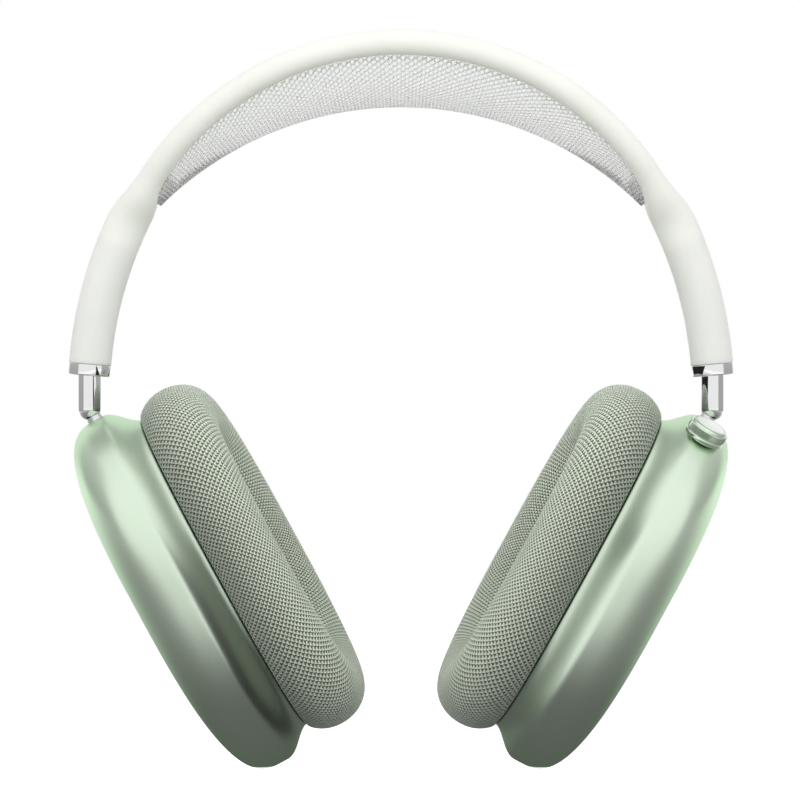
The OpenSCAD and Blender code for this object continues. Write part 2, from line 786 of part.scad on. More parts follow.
plate_hole = 22;
module cushion_plate() {
    color(plastic) at_cup() difference() {
        flat_oval(plate_x, plate_t, cushion_l - plate_inset, cushion_w - plate_inset, outline_e);
        flat_oval(plate_x - past, 2 * past, cushion_l - plate_hole, cushion_w - plate_hole, outline_e);
    }
}

ear_mesh_t = 0.45;
ear_mesh_lap = 1.4;
module ear_mesh() {
    inset = ring_w - ear_mesh_lap;
    color(dark) at_cup() flat_oval(plate_x - run_fit - ear_mesh_t, ear_mesh_t,
        cushion_l - inset, cushion_w - inset, outline_e);
}

// ---- Right cup only ----

cell_t = 4.6;
cell_l = 36;
cell_w = 14;
cell_gap = 1;
cell_low = -22;
module battery_cells() {
    color(foil) at_cup() for (y = [-cell_w - cell_gap / 2, cell_gap / 2])
        translate([board_x + board_t + chips_h + seat, y, cell_low]) cube([cell_t, cell_w, cell_l]);
}

// The socket's mouth stands just inside the shell's curved end
socket_l = 8;
socket_wall = 0.8;
socket_in = 0.6;
module charging_socket() {
    color(steel) at_cup() translate([port_x, 0, wall + socket_in - shell_l / 2]) difference() {
        lozenge(port_l + 2 * socket_wall, port_w + 2 * socket_wall, socket_l);
        translate([0, 0, -past]) lozenge(port_l, port_w, past + socket_l - socket_wall);
    }
}

// The crown turns on a hub in its housing, and its shaft presses a switch on the floor
housing_d = 7.2;
hub_d = 5.2;
housing_deep = 9.2;
housing_floor = 1.2;
switch_h = 0.5;
crown_seat = 0.4;
hub_foot = 0.6;
shaft_in = 1;
module crown_housing() {
    color(plastic) at_cup() at_crown() difference() {
        translate([0, 0, -housing_deep]) cylinder(h = housing_deep - seat, d = housing_d);
        translate([0, 0, housing_floor - housing_deep]) cylinder(h = housing_deep, d = hub_d + 2 * run_fit);
    }
}

module crown_switch() {
    color(steel) at_cup() at_crown() translate([0, 0, housing_floor - housing_deep + eps])
        cylinder(h = switch_h, d = shaft_d);
}

shaft_low = housing_floor - housing_deep + switch_h + travel + run_fit;
module crown_hub() {
    low = shaft_low + hub_foot;
    color(copper) at_cup() at_crown() difference() {
        translate([0, 0, low]) cylinder(h = -low - seat, d = hub_d);
        translate([0, 0, -past]) cylinder(h = 2 * past, d = shaft_d + 2 * run_fit);
    }
}

module crown_shaft() {
    color(steel) at_cup() at_crown() translate([0, 0, shaft_low])
        cylinder(h = crown_seat + shaft_in - shaft_low, d = shaft_d);
}

// Between the grip and the cap the crown's edge is a quarter round
groove_deep = 0.28;
cap_rim = 0.12;
cap_t = 0.3;
module crown_knob() {
    r = crown_d / 2 - groove_deep;
    flat_r = cap_d / 2 + cap_rim;
    shoulder = r - flat_r;
    grip = crown_h - shoulder;
    color(anodised) at_cup() at_crown() translate([0, 0, crown_seat]) difference() {
        union() {
            linear_extrude(grip) polygon([for (k = [0:2 * crown_grooves - 1])
                let (a = 180 * k / crown_grooves, reach = r + groove_deep * (1 - k % 2))
                reach * [cos(a), sin(a)]]);
            translate([0, 0, grip - eps]) rotate_extrude() intersection() {
                translate([flat_r, 0]) circle(shoulder);
                square([r, shoulder]);
            }
            translate([0, 0, grip - eps]) cylinder(h = shoulder, r = flat_r);
        }
        translate([0, 0, -past]) cylinder(h = past + shaft_in + run_fit, d = shaft_d + run_fit);
        translate([0, 0, crown_h - cap_t]) cylinder(h = past, d = cap_d + run_fit);
    }
}

module crown_cap() {
    color(polished) at_cup() at_crown() translate([0, 0, crown_seat + crown_h - cap_t + eps])
        cylinder(h = cap_t, d = cap_d);
}

button_proud = 0.6;
button_deep = 4.8;
module noise_button() {
    color(anodised) at_cup() at_button() translate([0, 0, -button_deep])
        lozenge(button_l, button_w, button_deep + button_proud);
}

// The button's carrier stands just inside the shell's wall, with the switch as its floor
carrier_wall = 1.2;
carrier_in = 2.4;
module button_switch() {
    floor_z = -button_deep - travel - run_fit;
    low = floor_z - carrier_wall;
    rim = 2 * (room + carrier_wall);
    color(dark) at_cup() at_button() difference() {
        translate([0, 0, low]) lozenge(button_l + rim, button_w + rim, -wall - carrier_in - low);
        translate([0, 0, floor_z]) lozenge(button_l + 2 * room, button_w + 2 * room, past);
    }
}

headband_frame();
headband_cover();
canopy_mesh();
left() arm_tube();  // left_arm_tube
left() arm_bush();  // left_arm_bush
left() arm_collar();  // left_arm_collar
left() arm_rod();  // left_arm_rod
left() rod_stop();  // left_rod_stop
left() hinge_clip();  // left_hinge_clip
left() hinge_ball();  // left_hinge_ball
left() hinge_bracket();  // left_hinge_bracket
left() tilt_spring();  // left_tilt_spring
left() cup_shell(false);  // left_cup_shell
left() cup_baffle();  // left_cup_baffle
left() baffle_screws();  // left_baffle_screws
left() cushion_magnets();  // left_cushion_magnets
left() driver_basket();  // left_driver_basket
left() driver_magnet();  // left_driver_magnet
left() driver_diaphragm();  // left_driver_diaphragm
left() driver_grille();  // left_driver_grille
left() logic_board();  // left_logic_board
left() cushion_plate();  // left_cushion_plate
left() cushion();  // left_cushion
left() ear_mesh();  // left_ear_mesh
right() arm_tube();  // right_arm_tube
right() arm_bush();  // right_arm_bush
right() arm_collar();  // right_arm_collar
right() arm_rod();  // right_arm_rod
right() rod_stop();  // right_rod_stop
right() hinge_clip();  // right_hinge_clip
right() hinge_ball();  // right_hinge_ball
right() hinge_bracket();  // right_hinge_bracket
right() tilt_spring();  // right_tilt_spring
right() cup_shell(true);  // right_cup_shell
right() cup_baffle();  // right_cup_baffle
right() baffle_screws();  // right_baffle_screws
right() cushion_magnets();  // right_cushion_magnets
right() driver_basket();  // right_driver_basket
right() driver_magnet();  // right_driver_magnet
right() driver_diaphragm();  // right_driver_diaphragm
right() driver_grille();  // right_driver_grille
right() logic_board();  // right_logic_board
right() cushion_plate();  // right_cushion_plate
right() cushion();  // right_cushion
right() ear_mesh();  // right_ear_mesh
battery_cells();
charging_socket();
crown_housing();
crown_switch();
crown_hub();
crown_shaft();
crown_knob();
crown_cap();
noise_button();
button_switch();
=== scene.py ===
import math

import bmesh
import bpy
import numpy as np
from mathutils import Matrix, Vector


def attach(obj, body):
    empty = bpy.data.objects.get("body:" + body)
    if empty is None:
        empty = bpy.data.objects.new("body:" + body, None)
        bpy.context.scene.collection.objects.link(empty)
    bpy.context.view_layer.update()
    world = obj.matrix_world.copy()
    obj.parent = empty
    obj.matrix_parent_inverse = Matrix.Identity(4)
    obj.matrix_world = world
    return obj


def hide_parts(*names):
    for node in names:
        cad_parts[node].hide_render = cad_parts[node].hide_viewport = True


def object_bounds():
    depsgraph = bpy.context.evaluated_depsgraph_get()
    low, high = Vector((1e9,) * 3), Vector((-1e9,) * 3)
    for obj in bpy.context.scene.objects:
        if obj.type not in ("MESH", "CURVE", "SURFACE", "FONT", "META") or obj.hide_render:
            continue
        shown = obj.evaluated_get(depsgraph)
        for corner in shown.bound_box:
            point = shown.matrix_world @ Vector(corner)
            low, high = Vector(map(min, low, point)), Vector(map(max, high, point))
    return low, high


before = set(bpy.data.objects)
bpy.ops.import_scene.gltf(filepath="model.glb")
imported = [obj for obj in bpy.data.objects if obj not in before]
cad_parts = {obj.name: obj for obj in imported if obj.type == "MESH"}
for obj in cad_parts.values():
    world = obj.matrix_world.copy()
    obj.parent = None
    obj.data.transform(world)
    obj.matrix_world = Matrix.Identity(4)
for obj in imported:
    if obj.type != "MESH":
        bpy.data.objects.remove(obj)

cad_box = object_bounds()

# ---- The room ----
# A long lens looks level at the back of the headphones, which hang over a plain pale floor
# between large soft boxes. Cards that only glossy surfaces see give the metal its edges.
MM = 0.001
scene = bpy.context.scene
scene.view_settings.view_transform = "Standard"

picture_width = 203.4
camera_back = 2500.0
camera_data = bpy.data.cameras.new("long_lens")
camera_data.sensor_width = 36.0
camera_data.lens = camera_data.sensor_width * camera_back / picture_width
camera_data.clip_end = 20.0
camera = bpy.data.objects.new("long_lens", camera_data)
camera.location = Vector((-0.25, -camera_back, -73.97)) * MM
camera.rotation_euler = (math.radians(90), 0, 0)
scene.collection.objects.link(camera)
scene.camera = camera


def node_in(tree, kind, settings=None, **inputs):
    """A node of that kind, with its inputs set by name or as i0, i1... to values or sockets."""
    node = tree.nodes.new(kind)
    for name, value in (settings or {}).items():
        setattr(node, name, value)
    for name, value in inputs.items():
        numbered = name[0] == "i" and name[1:].isdigit()
        socket = node.inputs[int(name[1:]) if numbered else name.replace("_", " ")]
        if isinstance(value, bpy.types.NodeSocket):
            tree.links.new(value, socket)
        else:
            socket.default_value = value
    return node


def worked(tree, operation, *terms):
    """The result of one step of arithmetic on values and sockets."""
    inputs = {f"i{k}": term for k, term in enumerate(terms)}
    return node_in(tree, "ShaderNodeMath", {"operation": operation}, **inputs).outputs[0]


def seen_rays(tree):
    """1 for what the camera, glass and bright metal see, and 0 for what lights a surface."""
    ray = tree.nodes.new("ShaderNodeLightPath")
    seen = worked(tree, "MAXIMUM", ray.outputs["Is Camera Ray"], ray.outputs["Is Transmission Ray"])
    return worked(tree, "MAXIMUM", seen, ray.outputs["Is Glossy Ray"])


# The room is white to the eye and in the metal, and softer where it lights a surface
room_light = 0.85
white = (1, 1, 1, 1)
world = bpy.data.worlds.new("pale_room")
world.use_nodes = True
scene.world = world
tree = world.node_tree
tree.nodes.clear()
lit = node_in(tree, "ShaderNodeBackground", Color=white, Strength=room_light)
shown = node_in(tree, "ShaderNodeBackground", Color=white, Strength=1.0)
mixed = node_in(tree, "ShaderNodeMixShader", i0=seen_rays(tree), i1=lit.outputs[0], i2=shown.outputs[0])
node_in(tree, "ShaderNodeOutputWorld", Surface=mixed.outputs[0])


def soft_lamp(name, place, power):
    """A square soft box aimed at the middle of the headphones, in millimetres and watts."""
    data = bpy.data.lights.new(name, "AREA")
    data.shape = "SQUARE"
    data.size = 900 * MM
    data.energy = power
    lamp = bpy.data.objects.new(name, data)
    lamp.location = Vector(place) * MM
    aim = Vector((0, 0, -75)) - Vector(place)
    lamp.rotation_euler = aim.to_track_quat("-Z", "Y").to_euler()
    lamp.visible_camera = False
    lamp.visible_glossy = False
    scene.collection.objects.link(lamp)


soft_lamp("top_box", (0, -150, 1000), 0.9)
soft_lamp("left_box", (-350, -1100, 350), 2.5)
soft_lamp("right_box", (350, -1100, 350), 2.5)
soft_lamp("back_box", (0, 1100, 500), 2.6)


def stage_card(name, corners, graded):
    """A card that only glossy surfaces see. Its glow is worked out by a function of its tree."""
    mesh = bpy.data.meshes.new(name)
    mesh.from_pydata([Vector(c) * MM for c in corners], [], [range(len(corners))])
    card = bpy.data.objects.new(name, mesh)
    dress_card(card, graded)


def dress_card(card, graded):
    scene.collection.objects.link(card)
    finish = bpy.data.materials.new(card.name)
    finish.use_nodes = True
    tree = finish.node_tree
    tree.nodes.clear()
    glow = node_in(tree, "ShaderNodeEmission", Strength=graded(tree)).outputs[0]
    side = tree.nodes.new("ShaderNodeNewGeometry").outputs["Backfacing"]
    clear = node_in(tree, "ShaderNodeBsdfTransparent").outputs[0]
    one_sided = node_in(tree, "ShaderNodeMixShader", i0=side, i1=glow, i2=clear)
    node_in(tree, "ShaderNodeOutputMaterial", Surface=one_sided.outputs[0])
    card.data.materials.append(finish)
    card.visible_camera = False
    card.visible_diffuse = False
    card.visible_shadow = False
    card.visible_transmission = False
    card.visible_volume_scatter = False


def card_place(tree):
    """The three parts of a point's place on a card, in metres."""
    place = tree.nodes.new("ShaderNodeTexCoord")
    return node_in(tree, "ShaderNodeSeparateXYZ", i0=place.outputs["Object"]).outputs


def graded_by(tree, value, *stops):
    """A grey that follows a value through stops of (value, grey)."""
    low, high = stops[0][0], stops[-1][0]
    share = node_in(tree, "ShaderNodeMapRange", Value=value, From_Min=low, From_Max=high)
    greys = [((at - low) / (high - low), (grey, grey, grey)) for at, grey in stops]
    return ramp(tree, share.outputs[0], *greys)


def ramp(tree, value, *stops):
    """The colour at a value, from stops of (place, colour)."""
    node = node_in(tree, "ShaderNodeValToRGB", i0=value)
    while len(node.color_ramp.elements) < len(stops):
        node.color_ramp.elements.new(0.5)
    for element, (place, colour) in zip(node.color_ramp.elements, stops):
        element.position = place
        element.color = (*colour, 1)
    return node.outputs[0]


def plain(grey):
    return lambda tree: grey


def spread_out(tree):
    """Dark under the headphones, and paler further out."""
    x, y, z = card_place(tree)
    far = worked(tree, "SQRT", worked(tree, "ADD", worked(tree, "POWER", x, 2.0), worked(tree, "POWER", y, 2.0)))
    around = graded_by(tree, far, (0.0, 0.12), (0.07, 0.13), (0.13, 0.24), (0.33, 0.5), (0.9, 1.0))
    behind = graded_by(tree, y, (0.0, 0.0), (0.08, 0.08), (0.25, 0.42), (0.6, 0.45))
    return worked(tree, "ADD", around, behind)


def upward(tree):
    return graded_by(tree, card_place(tree)[2], (-0.17, 0.36), (0.0, 0.5), (0.33, 0.62))


def flat_card(name, near_left, far_right, z, graded, facing=1):
    """A level card between two corners. It glows upward, or downward where facing is -1."""
    (x0, y0), (x1, y1) = near_left, far_right
    corners = [(x0, y0, z), (x1, y0, z), (x1, y1, z), (x0, y1, z)]
    stage_card(name, corners[::facing], graded)


def middle_card(name, near, far, low, high, graded):
    """An upright card halfway between the two cups, that glows on both its sides."""
    corners = [(0, near, low), (0, far, low), (0, far, high), (0, near, high)]
    stage_card(f"{name}_left_side", corners, graded)
    stage_card(f"{name}_right_side", corners[::-1], graded)


# The headphones hang from their head rest. The floor leaves room under them for the rods'
# travel and the cups' swing, and the cards stay level with the cups.
feet_z = cad_box[0][2] / MM
room_below = 34
floor_z = feet_z - room_below
wide = 900
flat_card("low_card", (-wide, -wide), (wide, wide), feet_z + 0.6, spread_out)
flat_card("high_card", (-700, 60), (700, 760), 520, plain(0.38), facing=-1)
side_card = [(450, -200, feet_z), (450, 450, feet_z), (450, 450, 330), (450, -200, 330)]
stage_card("right_card", side_card[::-1], upward)
stage_card("left_card", [(-x, y, z) for x, y, z in side_card], upward)
middle_card("middle_card", -110, 110, feet_z, -52, plain(0.02))

half = 4000
floor_corners = [(-half, -half), (half, -half), (half, half), (-half, half)]
floor_mesh = bpy.data.meshes.new("floor")
floor_mesh.from_pydata([Vector((x, y, floor_z)) * MM for x, y in floor_corners], [], [range(4)])
floor = bpy.data.objects.new("floor", floor_mesh)
scene.collection.objects.link(floor)


def surface(name, colour, roughness, metallic=0.0, **sockets):
    """A material with one shader, whose even values are set on its own sockets."""
    finish = bpy.data.materials.new(name)
    finish.use_nodes = True
    shader = finish.node_tree.nodes["Principled BSDF"]
    shader.inputs["Base Color"].default_value = (*colour, 1)
    shader.inputs["Roughness"].default_value = roughness
    shader.inputs["Metallic"].default_value = metallic
    for socket, value in sockets.items():
        shader.inputs[socket.replace("_", " ")].default_value = value
    return finish, finish.node_tree, shader


def piece_noise(tree, size, detail=3.0):
    """Noise in the piece's own space, with features about that many millimetres wide."""
    place = tree.nodes.new("ShaderNodeTexCoord")
    scale = 1 / (size * MM)
    return node_in(tree, "ShaderNodeTexNoise", Vector=place.outputs["Object"], Scale=scale, Detail=detail).outputs[0]


def tinted(tree, shader, value, *stops):
    tree.links.new(ramp(tree, value, *stops), shader.inputs["Base Color"])


def glossed(tree, shader, value, low, high):
    """Roughness that goes from low to high as the value goes from 0 to 1."""
    spread = node_in(tree, "ShaderNodeMapRange", Value=value, To_Min=low, To_Max=high)
    tree.links.new(spread.outputs[0], shader.inputs["Roughness"])


def roughen(tree, shader, height, depth):
    """Raises the surface by a height of 0 to 1, times a depth in millimetres."""
    bump = node_in(tree, "ShaderNodeBump", Height=height, Distance=depth * MM)
    tree.links.new(bump.outputs[0], shader.inputs["Normal"])


# Paper that shows white where nothing shades it, and keeps the headphones' soft shadow. It
# gives less light back near the headphones than further out.
floor_finish, tree, shader = surface("floor_paper", (0.5, 0.5, 0.5), 0.9)
x, y, z = card_place(tree)
far = worked(tree, "SQRT", worked(tree, "ADD", worked(tree, "POWER", x, 2.0), worked(tree, "POWER", y, 2.0)))
grey = graded_by(tree, far, (0.0, 0.28), (0.1, 0.3), (0.35, 0.55), (0.7, 0.75))
speck = worked(tree, "MULTIPLY_ADD", piece_noise(tree, 3.0), 0.04, -0.02)
tree.links.new(worked(tree, "ADD", grey, speck), shader.inputs["Base Color"])
own_glow = graded_by(tree, far, (0.0, 0.70), (0.1, 0.70), (0.35, 0.60), (0.7, 0.52))
paper_glow = worked(tree, "MULTIPLY", seen_rays(tree), own_glow)
glowing = node_in(tree, "ShaderNodeEmission", Strength=paper_glow)
both = node_in(tree, "ShaderNodeAddShader", i0=shader.outputs[0], i1=glowing.outputs[0])
tree.links.new(both.outputs[0], tree.nodes["Material Output"].inputs["Surface"])
floor_mesh.materials.append(floor_finish)

# ---- Headband sleeve ----
# A soft-touch elastomer skin, moulded over the steel frame in one piece: two rails over
# the head that join at each side into one round arm. Each arm ends in an open bore.
rail_radius = 76.0
rail_rise = 16.3
rail_angle = math.radians(62)
rail_thick, rail_wide = 6.5, 7.2
rail_spread = 42.0
arm_radius = 105.0
arm_turn = math.radians(23.4)
arm_round = 10.8
rim_round = 0.3

rail_z = rail_rise - rail_radius
rail_length = rail_radius * rail_angle
band_length = rail_length + arm_radius * arm_turn
arm_x = (rail_radius - arm_radius) * math.sin(rail_angle)
arm_z = rail_z + (rail_radius - arm_radius) * math.cos(rail_angle)
fork_at = rail_length + 2.7


def eased(v):
    """0 to 1, with neither a kink nor a sudden bend at the ends."""
    v = np.clip(v, 0, 1)
    return v ** 3 * (v * (6 * v - 15) + 10)


def swell(t, before=10.5, after=4.1):
    """How far the rail has grown into the arm, 0 to 1, at a length along the band."""
    return eased((abs(t) - rail_length + before) / (before + after))


def outer_swell(t):
    return swell(t, 8.6, 8.2)


def band_angle(t):
    t = abs(t)
    return t / rail_radius if t <= rail_length else rail_angle + (t - rail_length) / arm_radius


def spread(t):
    return rail_spread / 2 * (1 - (t / fork_at) ** 2) ** 0.7


def apart(t, before=4.5, after=3.5):
    """Half the distance between the two rails, which run together softly at the fork."""
    t = abs(t)
    if t <= fork_at - before:
        return spread(t)
    width, slope = spread(fork_at - before), (spread(fork_at - before - 0.01) - spread(fork_at - before)) / 0.01
    s = min(1.0, max(0.0, (fork_at + after - t) / (before + after)))
    return width * (3 * s ** 2 - 2 * s ** 3) + slope * (before + after) * (s ** 3 - s ** 2)


def kept_open(y, t):
    """The corner where the rails' inner sides meet is round, as the mould leaves it."""
    k = 1.2 * eased((fork_at + 1 - abs(t)) / 5)
    return math.sqrt(y * y + 2 * k * y * math.exp(-y / 3)) if y > 0 else 0.0


def band_point(t, out, y):
    """A point at a length along the band, so far outward from its middle line."""
    a = band_angle(t)
    on_rail = abs(t) <= rail_length
    r = (rail_radius if on_rail else arm_radius) + out
    x, z = (0.0, rail_z) if on_rail else (arm_x, arm_z)
    return math.copysign(x + r * math.sin(a), t), y, z + r * math.cos(a)


def mesh_of(name, points, faces, finish, body, replaces=(), edge_angle=32.0):
    """A piece from points in millimetres, shaded smooth between its sharp edges."""
    mesh = bpy.data.meshes.new(name)
    mesh.from_pydata((np.asarray(points, float) * MM).tolist(), [], faces)
    mesh.validate()
    mesh.shade_smooth()
    mesh.set_sharp_from_angle(angle=math.radians(edge_angle))
    mesh.materials.append(finish)
    piece = bpy.data.objects.new(name, mesh)
    scene.collection.objects.link(piece)
    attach(piece, body)
    if replaces:
        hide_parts(*replaces)
    return piece


def shaped_mesh(piece):
    """A new mesh of the piece with its modifiers worked in."""
    bpy.context.view_layer.update()
    return bpy.data.meshes.new_from_object(piece.evaluated_get(bpy.context.evaluated_depsgraph_get()))


def settled(piece):
    """The piece with its modifiers worked into its mesh."""
    shaped = shaped_mesh(piece)
    piece.modifiers.clear()
    plain, piece.data = piece.data, shaped
    bpy.data.meshes.remove(plain)
    return piece


def tube_quads(rings, around, first=0):
    """Faces between rows of rings of points."""
    faces = []
    for i in range(rings - 1):
        for k in range(around):
            a = first + i * around + k
            b = first + i * around + (k + 1) % around
            faces.append((a, b, b + around, a + around))
    return faces


def band_stations(reach):
    """Lengths along half the band, closer together at the fork."""
    fork_from, fork_to = rail_length - 16, rail_length + 16
    rim = [reach - rim_round, reach - rim_round * 0.3, reach]
    parts = [np.arange(0, fork_from, 1.6), np.arange(fork_from, fork_to, 0.45), np.arange(fork_to, rim[0], 1.6)]
    return np.concatenate(parts + [rim])


sleeve_around = 64
half = band_stations(band_length)
lengths = np.concatenate([-half[:0:-1], half])
bore_deep, bore_round = 31.0, 9.04
rings = []
for t in lengths:
    past_rim = max(0.0, 1 - (band_length - abs(t)) / rim_round)
    drawn = rim_round * (1 - math.sqrt(1 - past_rim ** 2))
    low = rail_thick / 2 + (arm_round - rail_thick) / 2 * swell(t) - drawn
    high = rail_thick / 2 + (arm_round - rail_thick) / 2 * outer_swell(t) - drawn
    wide = rail_wide / 2 + (arm_round - rail_wide) / 2 * swell(t) - drawn
    for k in range(sleeve_around):
        a = 2 * math.pi * k / sleeve_around
        out = math.sin(a) * (high if math.sin(a) > 0 else low)
        outward = 0.5 + 0.5 * math.sin(a)
        middle = apart(t) * (1 - outward) + apart(t, 14, 8) * outward
        rings.append(band_point(t, out, kept_open(middle + wide * math.cos(a), t)))
for end in (-1, 1):
    for depth in (0.0, bore_deep / 4, bore_deep / 2, bore_deep):
        for k in range(sleeve_around):
            a = 2 * math.pi * k / sleeve_around
            y = max(0.0, bore_round / 2 * math.cos(a))
            rings.append(band_point(end * (band_length - depth), bore_round / 2 * math.sin(a), y))
count = len(lengths)
faces = tube_quads(count, sleeve_around)
for end, rim in ((0, 0), (1, count - 1)):
    bore = (count + 4 * end) * sleeve_around
    for k in range(sleeve_around):
        a, b = rim * sleeve_around + k, rim * sleeve_around + (k + 1) % sleeve_around
        c, d = bore + (k + 1) % sleeve_around, bore + k
        faces.append((a, b, c, d))
    faces += tube_quads(4, sleeve_around, bore)
    faces.append([bore + 3 * sleeve_around + k for k in range(sleeve_around)])
front = np.array(rings)
back = front * (1, -1, 1)
both_faces = faces + [tuple(len(front) + i for i in f[::-1]) for f in faces]

elastomer, tree, shader = surface(
    "soft_elastomer", (0.90, 0.925, 0.87), 0.5, Specular_IOR_Level=0.35, Subsurface_Weight=0.35,
    Subsurface_Radius=(1.0, 1.0, 0.9), Subsurface_Scale=0.003,
)
cloud = piece_noise(tree, 14.0, 2.0)
tinted(tree, shader, cloud, (0.3, (0.862, 0.878, 0.815)), (0.7, (0.885, 0.898, 0.842)))
grain = piece_noise(tree, 0.25, 2.0)
glossed(tree, shader, grain, 0.46, 0.56)
roughen(tree, shader, grain, 0.006)

all_points = np.concatenate([front, back])
sleeve = mesh_of("headband_sleeve", all_points, both_faces, elastomer, "headband", ["headband_cover"])
shape = bmesh.new()
shape.from_mesh(sleeve.data)
bmesh.ops.remove_doubles(shape, verts=shape.verts, dist=0.0005 * MM)
flat = [f for f in shape.faces if all(abs(v.co.y) < 1e-7 for v in f.verts)]
bmesh.ops.delete(shape, geom=flat, context="FACES_ONLY")
loose = [v for v in shape.verts if not v.link_faces]
bmesh.ops.delete(shape, geom=loose, context="VERTS")
bmesh.ops.recalc_face_normals(shape, faces=shape.faces)
shape.to_mesh(sleeve.data)
shape.free()
sleeve.data.shade_smooth()
sleeve.data.set_sharp_from_angle(angle=math.radians(55))


def dress(finish, *names):
    """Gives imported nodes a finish. A name with SIDE in it stands for the left and right node."""
    for name in names:
        for side in ("left", "right"):
            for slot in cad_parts[name.replace("SIDE", side)].material_slots:
                slot.material = finish


def satin_metal(name, colour, roughness, streak=1.2):
    """Plain rolled or turned metal: satin, with faint streaks and a little staining."""
    finish, tree, shader = surface(name, colour, roughness, 1.0)
    grain = piece_noise(tree, streak, 4.0)
    dark, light = (tuple(part * k for part in colour) for k in (0.86, 1.04))
    tinted(tree, shader, grain, (0.3, dark), (0.7, light))
    glossed(tree, shader, grain, roughness * 0.75, roughness * 1.3)
    roughen(tree, shader, piece_noise(tree, 0.15, 2.0), 0.004)
    return finish


# The spring-steel frame lies in the sleeve, and a tube in each arm guides the rod
frame_steel = satin_metal("frame_steel", (0.56, 0.56, 0.57), 0.34)
dress(frame_steel, "headband_frame", "SIDE_arm_tube")

# ---- Canopy ----
# One piece of warp-knitted net, stretched between the rails' inner sides, so that it sags
# across and along. Its mesh is open, and the rows close up towards its narrow ends.
canopy_radius = 86.4
canopy_thick = 1.0
canopy_sag_power = 2.2
grip_angle = math.radians(38)
grip_gap = 0.2
canopy_reach = fork_at - 5.2
net_columns, net_rows = 70, 72
net_pitch, net_row, yarn_thick = 2.2, 0.61, 0.12
hole_long, hole_wide = 0.52, 0.78


def canopy_point(t, v, up):
    """A point on the stretched net: v runs from -1 to 1 across, up is its height."""
    a = band_angle(t)
    thick = rail_thick / 2 + (arm_round - rail_thick) / 2 * swell(t)
    wide = rail_wide / 2 + (arm_round - rail_wide) / 2 * swell(t)
    edge = rail_radius - (thick + grip_gap) * math.sin(grip_angle) - canopy_thick
    edge_y = apart(t) - (wide + grip_gap) * math.cos(grip_angle)
    drop = rail_z + canopy_radius
    sling = math.sqrt(canopy_radius ** 2 - (drop * math.sin(a)) ** 2) - drop * math.cos(a)
    r = edge - max(0.0, edge - sling) * (1 - abs(v) ** canopy_sag_power) + up
    return math.copysign(r * math.sin(a), t), edge_y * v, rail_z + r * math.cos(a)


net = bmesh.new()
lattice = {}
for row in range(net_rows + 1):
    for step in range(2 * net_columns + 2):
        bend = net_row / 6 * (1 if (step + row) % 2 else -1)
        if row in (0, net_rows):
            bend = 0
        lattice[row, step] = net.verts.new((step * net_pitch / 2, row * net_row + bend, 0))
for row in range(net_rows):
    for column in range(net_columns):
        s = 2 * column + row % 2
        ends = [lattice[row, s + k] for k in (0, 1, 2)] + [lattice[row + 1, s + k] for k in (2, 1, 0)]
        centre = sum((v.co for v in ends), Vector()) / 6
        hole = [net.verts.new(centre + (v.co - centre) * Vector((hole_long, hole_wide, 1))) for v in ends]
        for k in range(6):
            j = (k + 1) % 6
            net.faces.new((ends[k], ends[j], hole[j], hole[k]))
loose = [v for v in net.verts if not v.link_faces]
bmesh.ops.delete(net, geom=loose, context="VERTS")
long_side = net_pitch * (net_columns + 0.5)
short_side = net_row * net_rows
for v in net.verts:
    t = (v.co.x / long_side * 2 - 1) * canopy_reach
    v.co = Vector(canopy_point(t, v.co.y / short_side * 2 - 1, canopy_thick / 2)) * MM
canopy_mesh = bpy.data.meshes.new("canopy_net")
net.to_mesh(canopy_mesh)
net.free()
canopy = bpy.data.objects.new("canopy_net", canopy_mesh)
scene.collection.objects.link(canopy)

net_yarn, tree, shader = surface(
    "net_yarn", (0.85, 0.90, 0.83), 0.6, Sheen_Weight=0.8, Sheen_Roughness=0.35, Subsurface_Weight=1.0,
    Subsurface_Radius=(1.0, 1.0, 1.0), Subsurface_Scale=0.002,
)
# Painted light: the yarn is painted paler towards the net's middle line and greener towards the rails, standing in for
# the light that the middle of the net catches. A fine noise adds a random unevenness of tone.
painted_shade_towards_rails = worked(tree, "MULTIPLY", worked(tree, "ABSOLUTE", card_place(tree)[1]), 1000 / 22.0)
uneven = worked(tree, "MULTIPLY_ADD", piece_noise(tree, 0.5, 3.0), 0.5, -0.25)
toned = worked(tree, "ADD", painted_shade_towards_rails, uneven)
yarn_colour_with_painted_light = ramp(tree, toned, (0.1, (0.98, 0.985, 0.97)), (0.5, (0.90, 0.96, 0.89)), (1.0, (0.64, 0.76, 0.62)))
tree.links.new(yarn_colour_with_painted_light, shader.inputs["Base Color"])
roughen(tree, shader, piece_noise(tree, 0.12, 2.0), 0.03)
canopy_mesh.materials.append(net_yarn)
canopy_mesh.shade_smooth()
thicken = canopy.modifiers.new("yarn", "SOLIDIFY")
thicken.thickness = yarn_thick * MM
thicken.offset = 0
settled(canopy)
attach(canopy, "headband")
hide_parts("canopy_mesh")

# ---- Collars and telescoping rods ----
# Polished stainless steel. A collar closes each arm, and a rod slides through it. The rod
# ends in a round, out of which a thinner neck leans towards the cup.
end_slope = math.pi / 2 - rail_angle - arm_turn
end_x = arm_x + arm_radius * math.cos(end_slope)
end_z = arm_z + arm_radius * math.sin(end_slope)
collar_high = 2.9
rod_round, rod_shown, rod_hidden = 5.8, 8.5, 27.0
rod_x = end_x + collar_high / 2 * math.sin(end_slope)
elbow_z = end_z - collar_high - rod_shown
lean = math.radians(28.6)
toe = math.radians(2.5)
neck_long, neck_round = 8.4, 4.2

steel, tree, shader = surface("polished_steel", (0.80, 0.80, 0.81), 0.06, 1.0)
glossed(tree, shader, piece_noise(tree, 2.5), 0.04, 0.09)
roughen(tree, shader, piece_noise(tree, 0.4, 4.0), 0.0004)


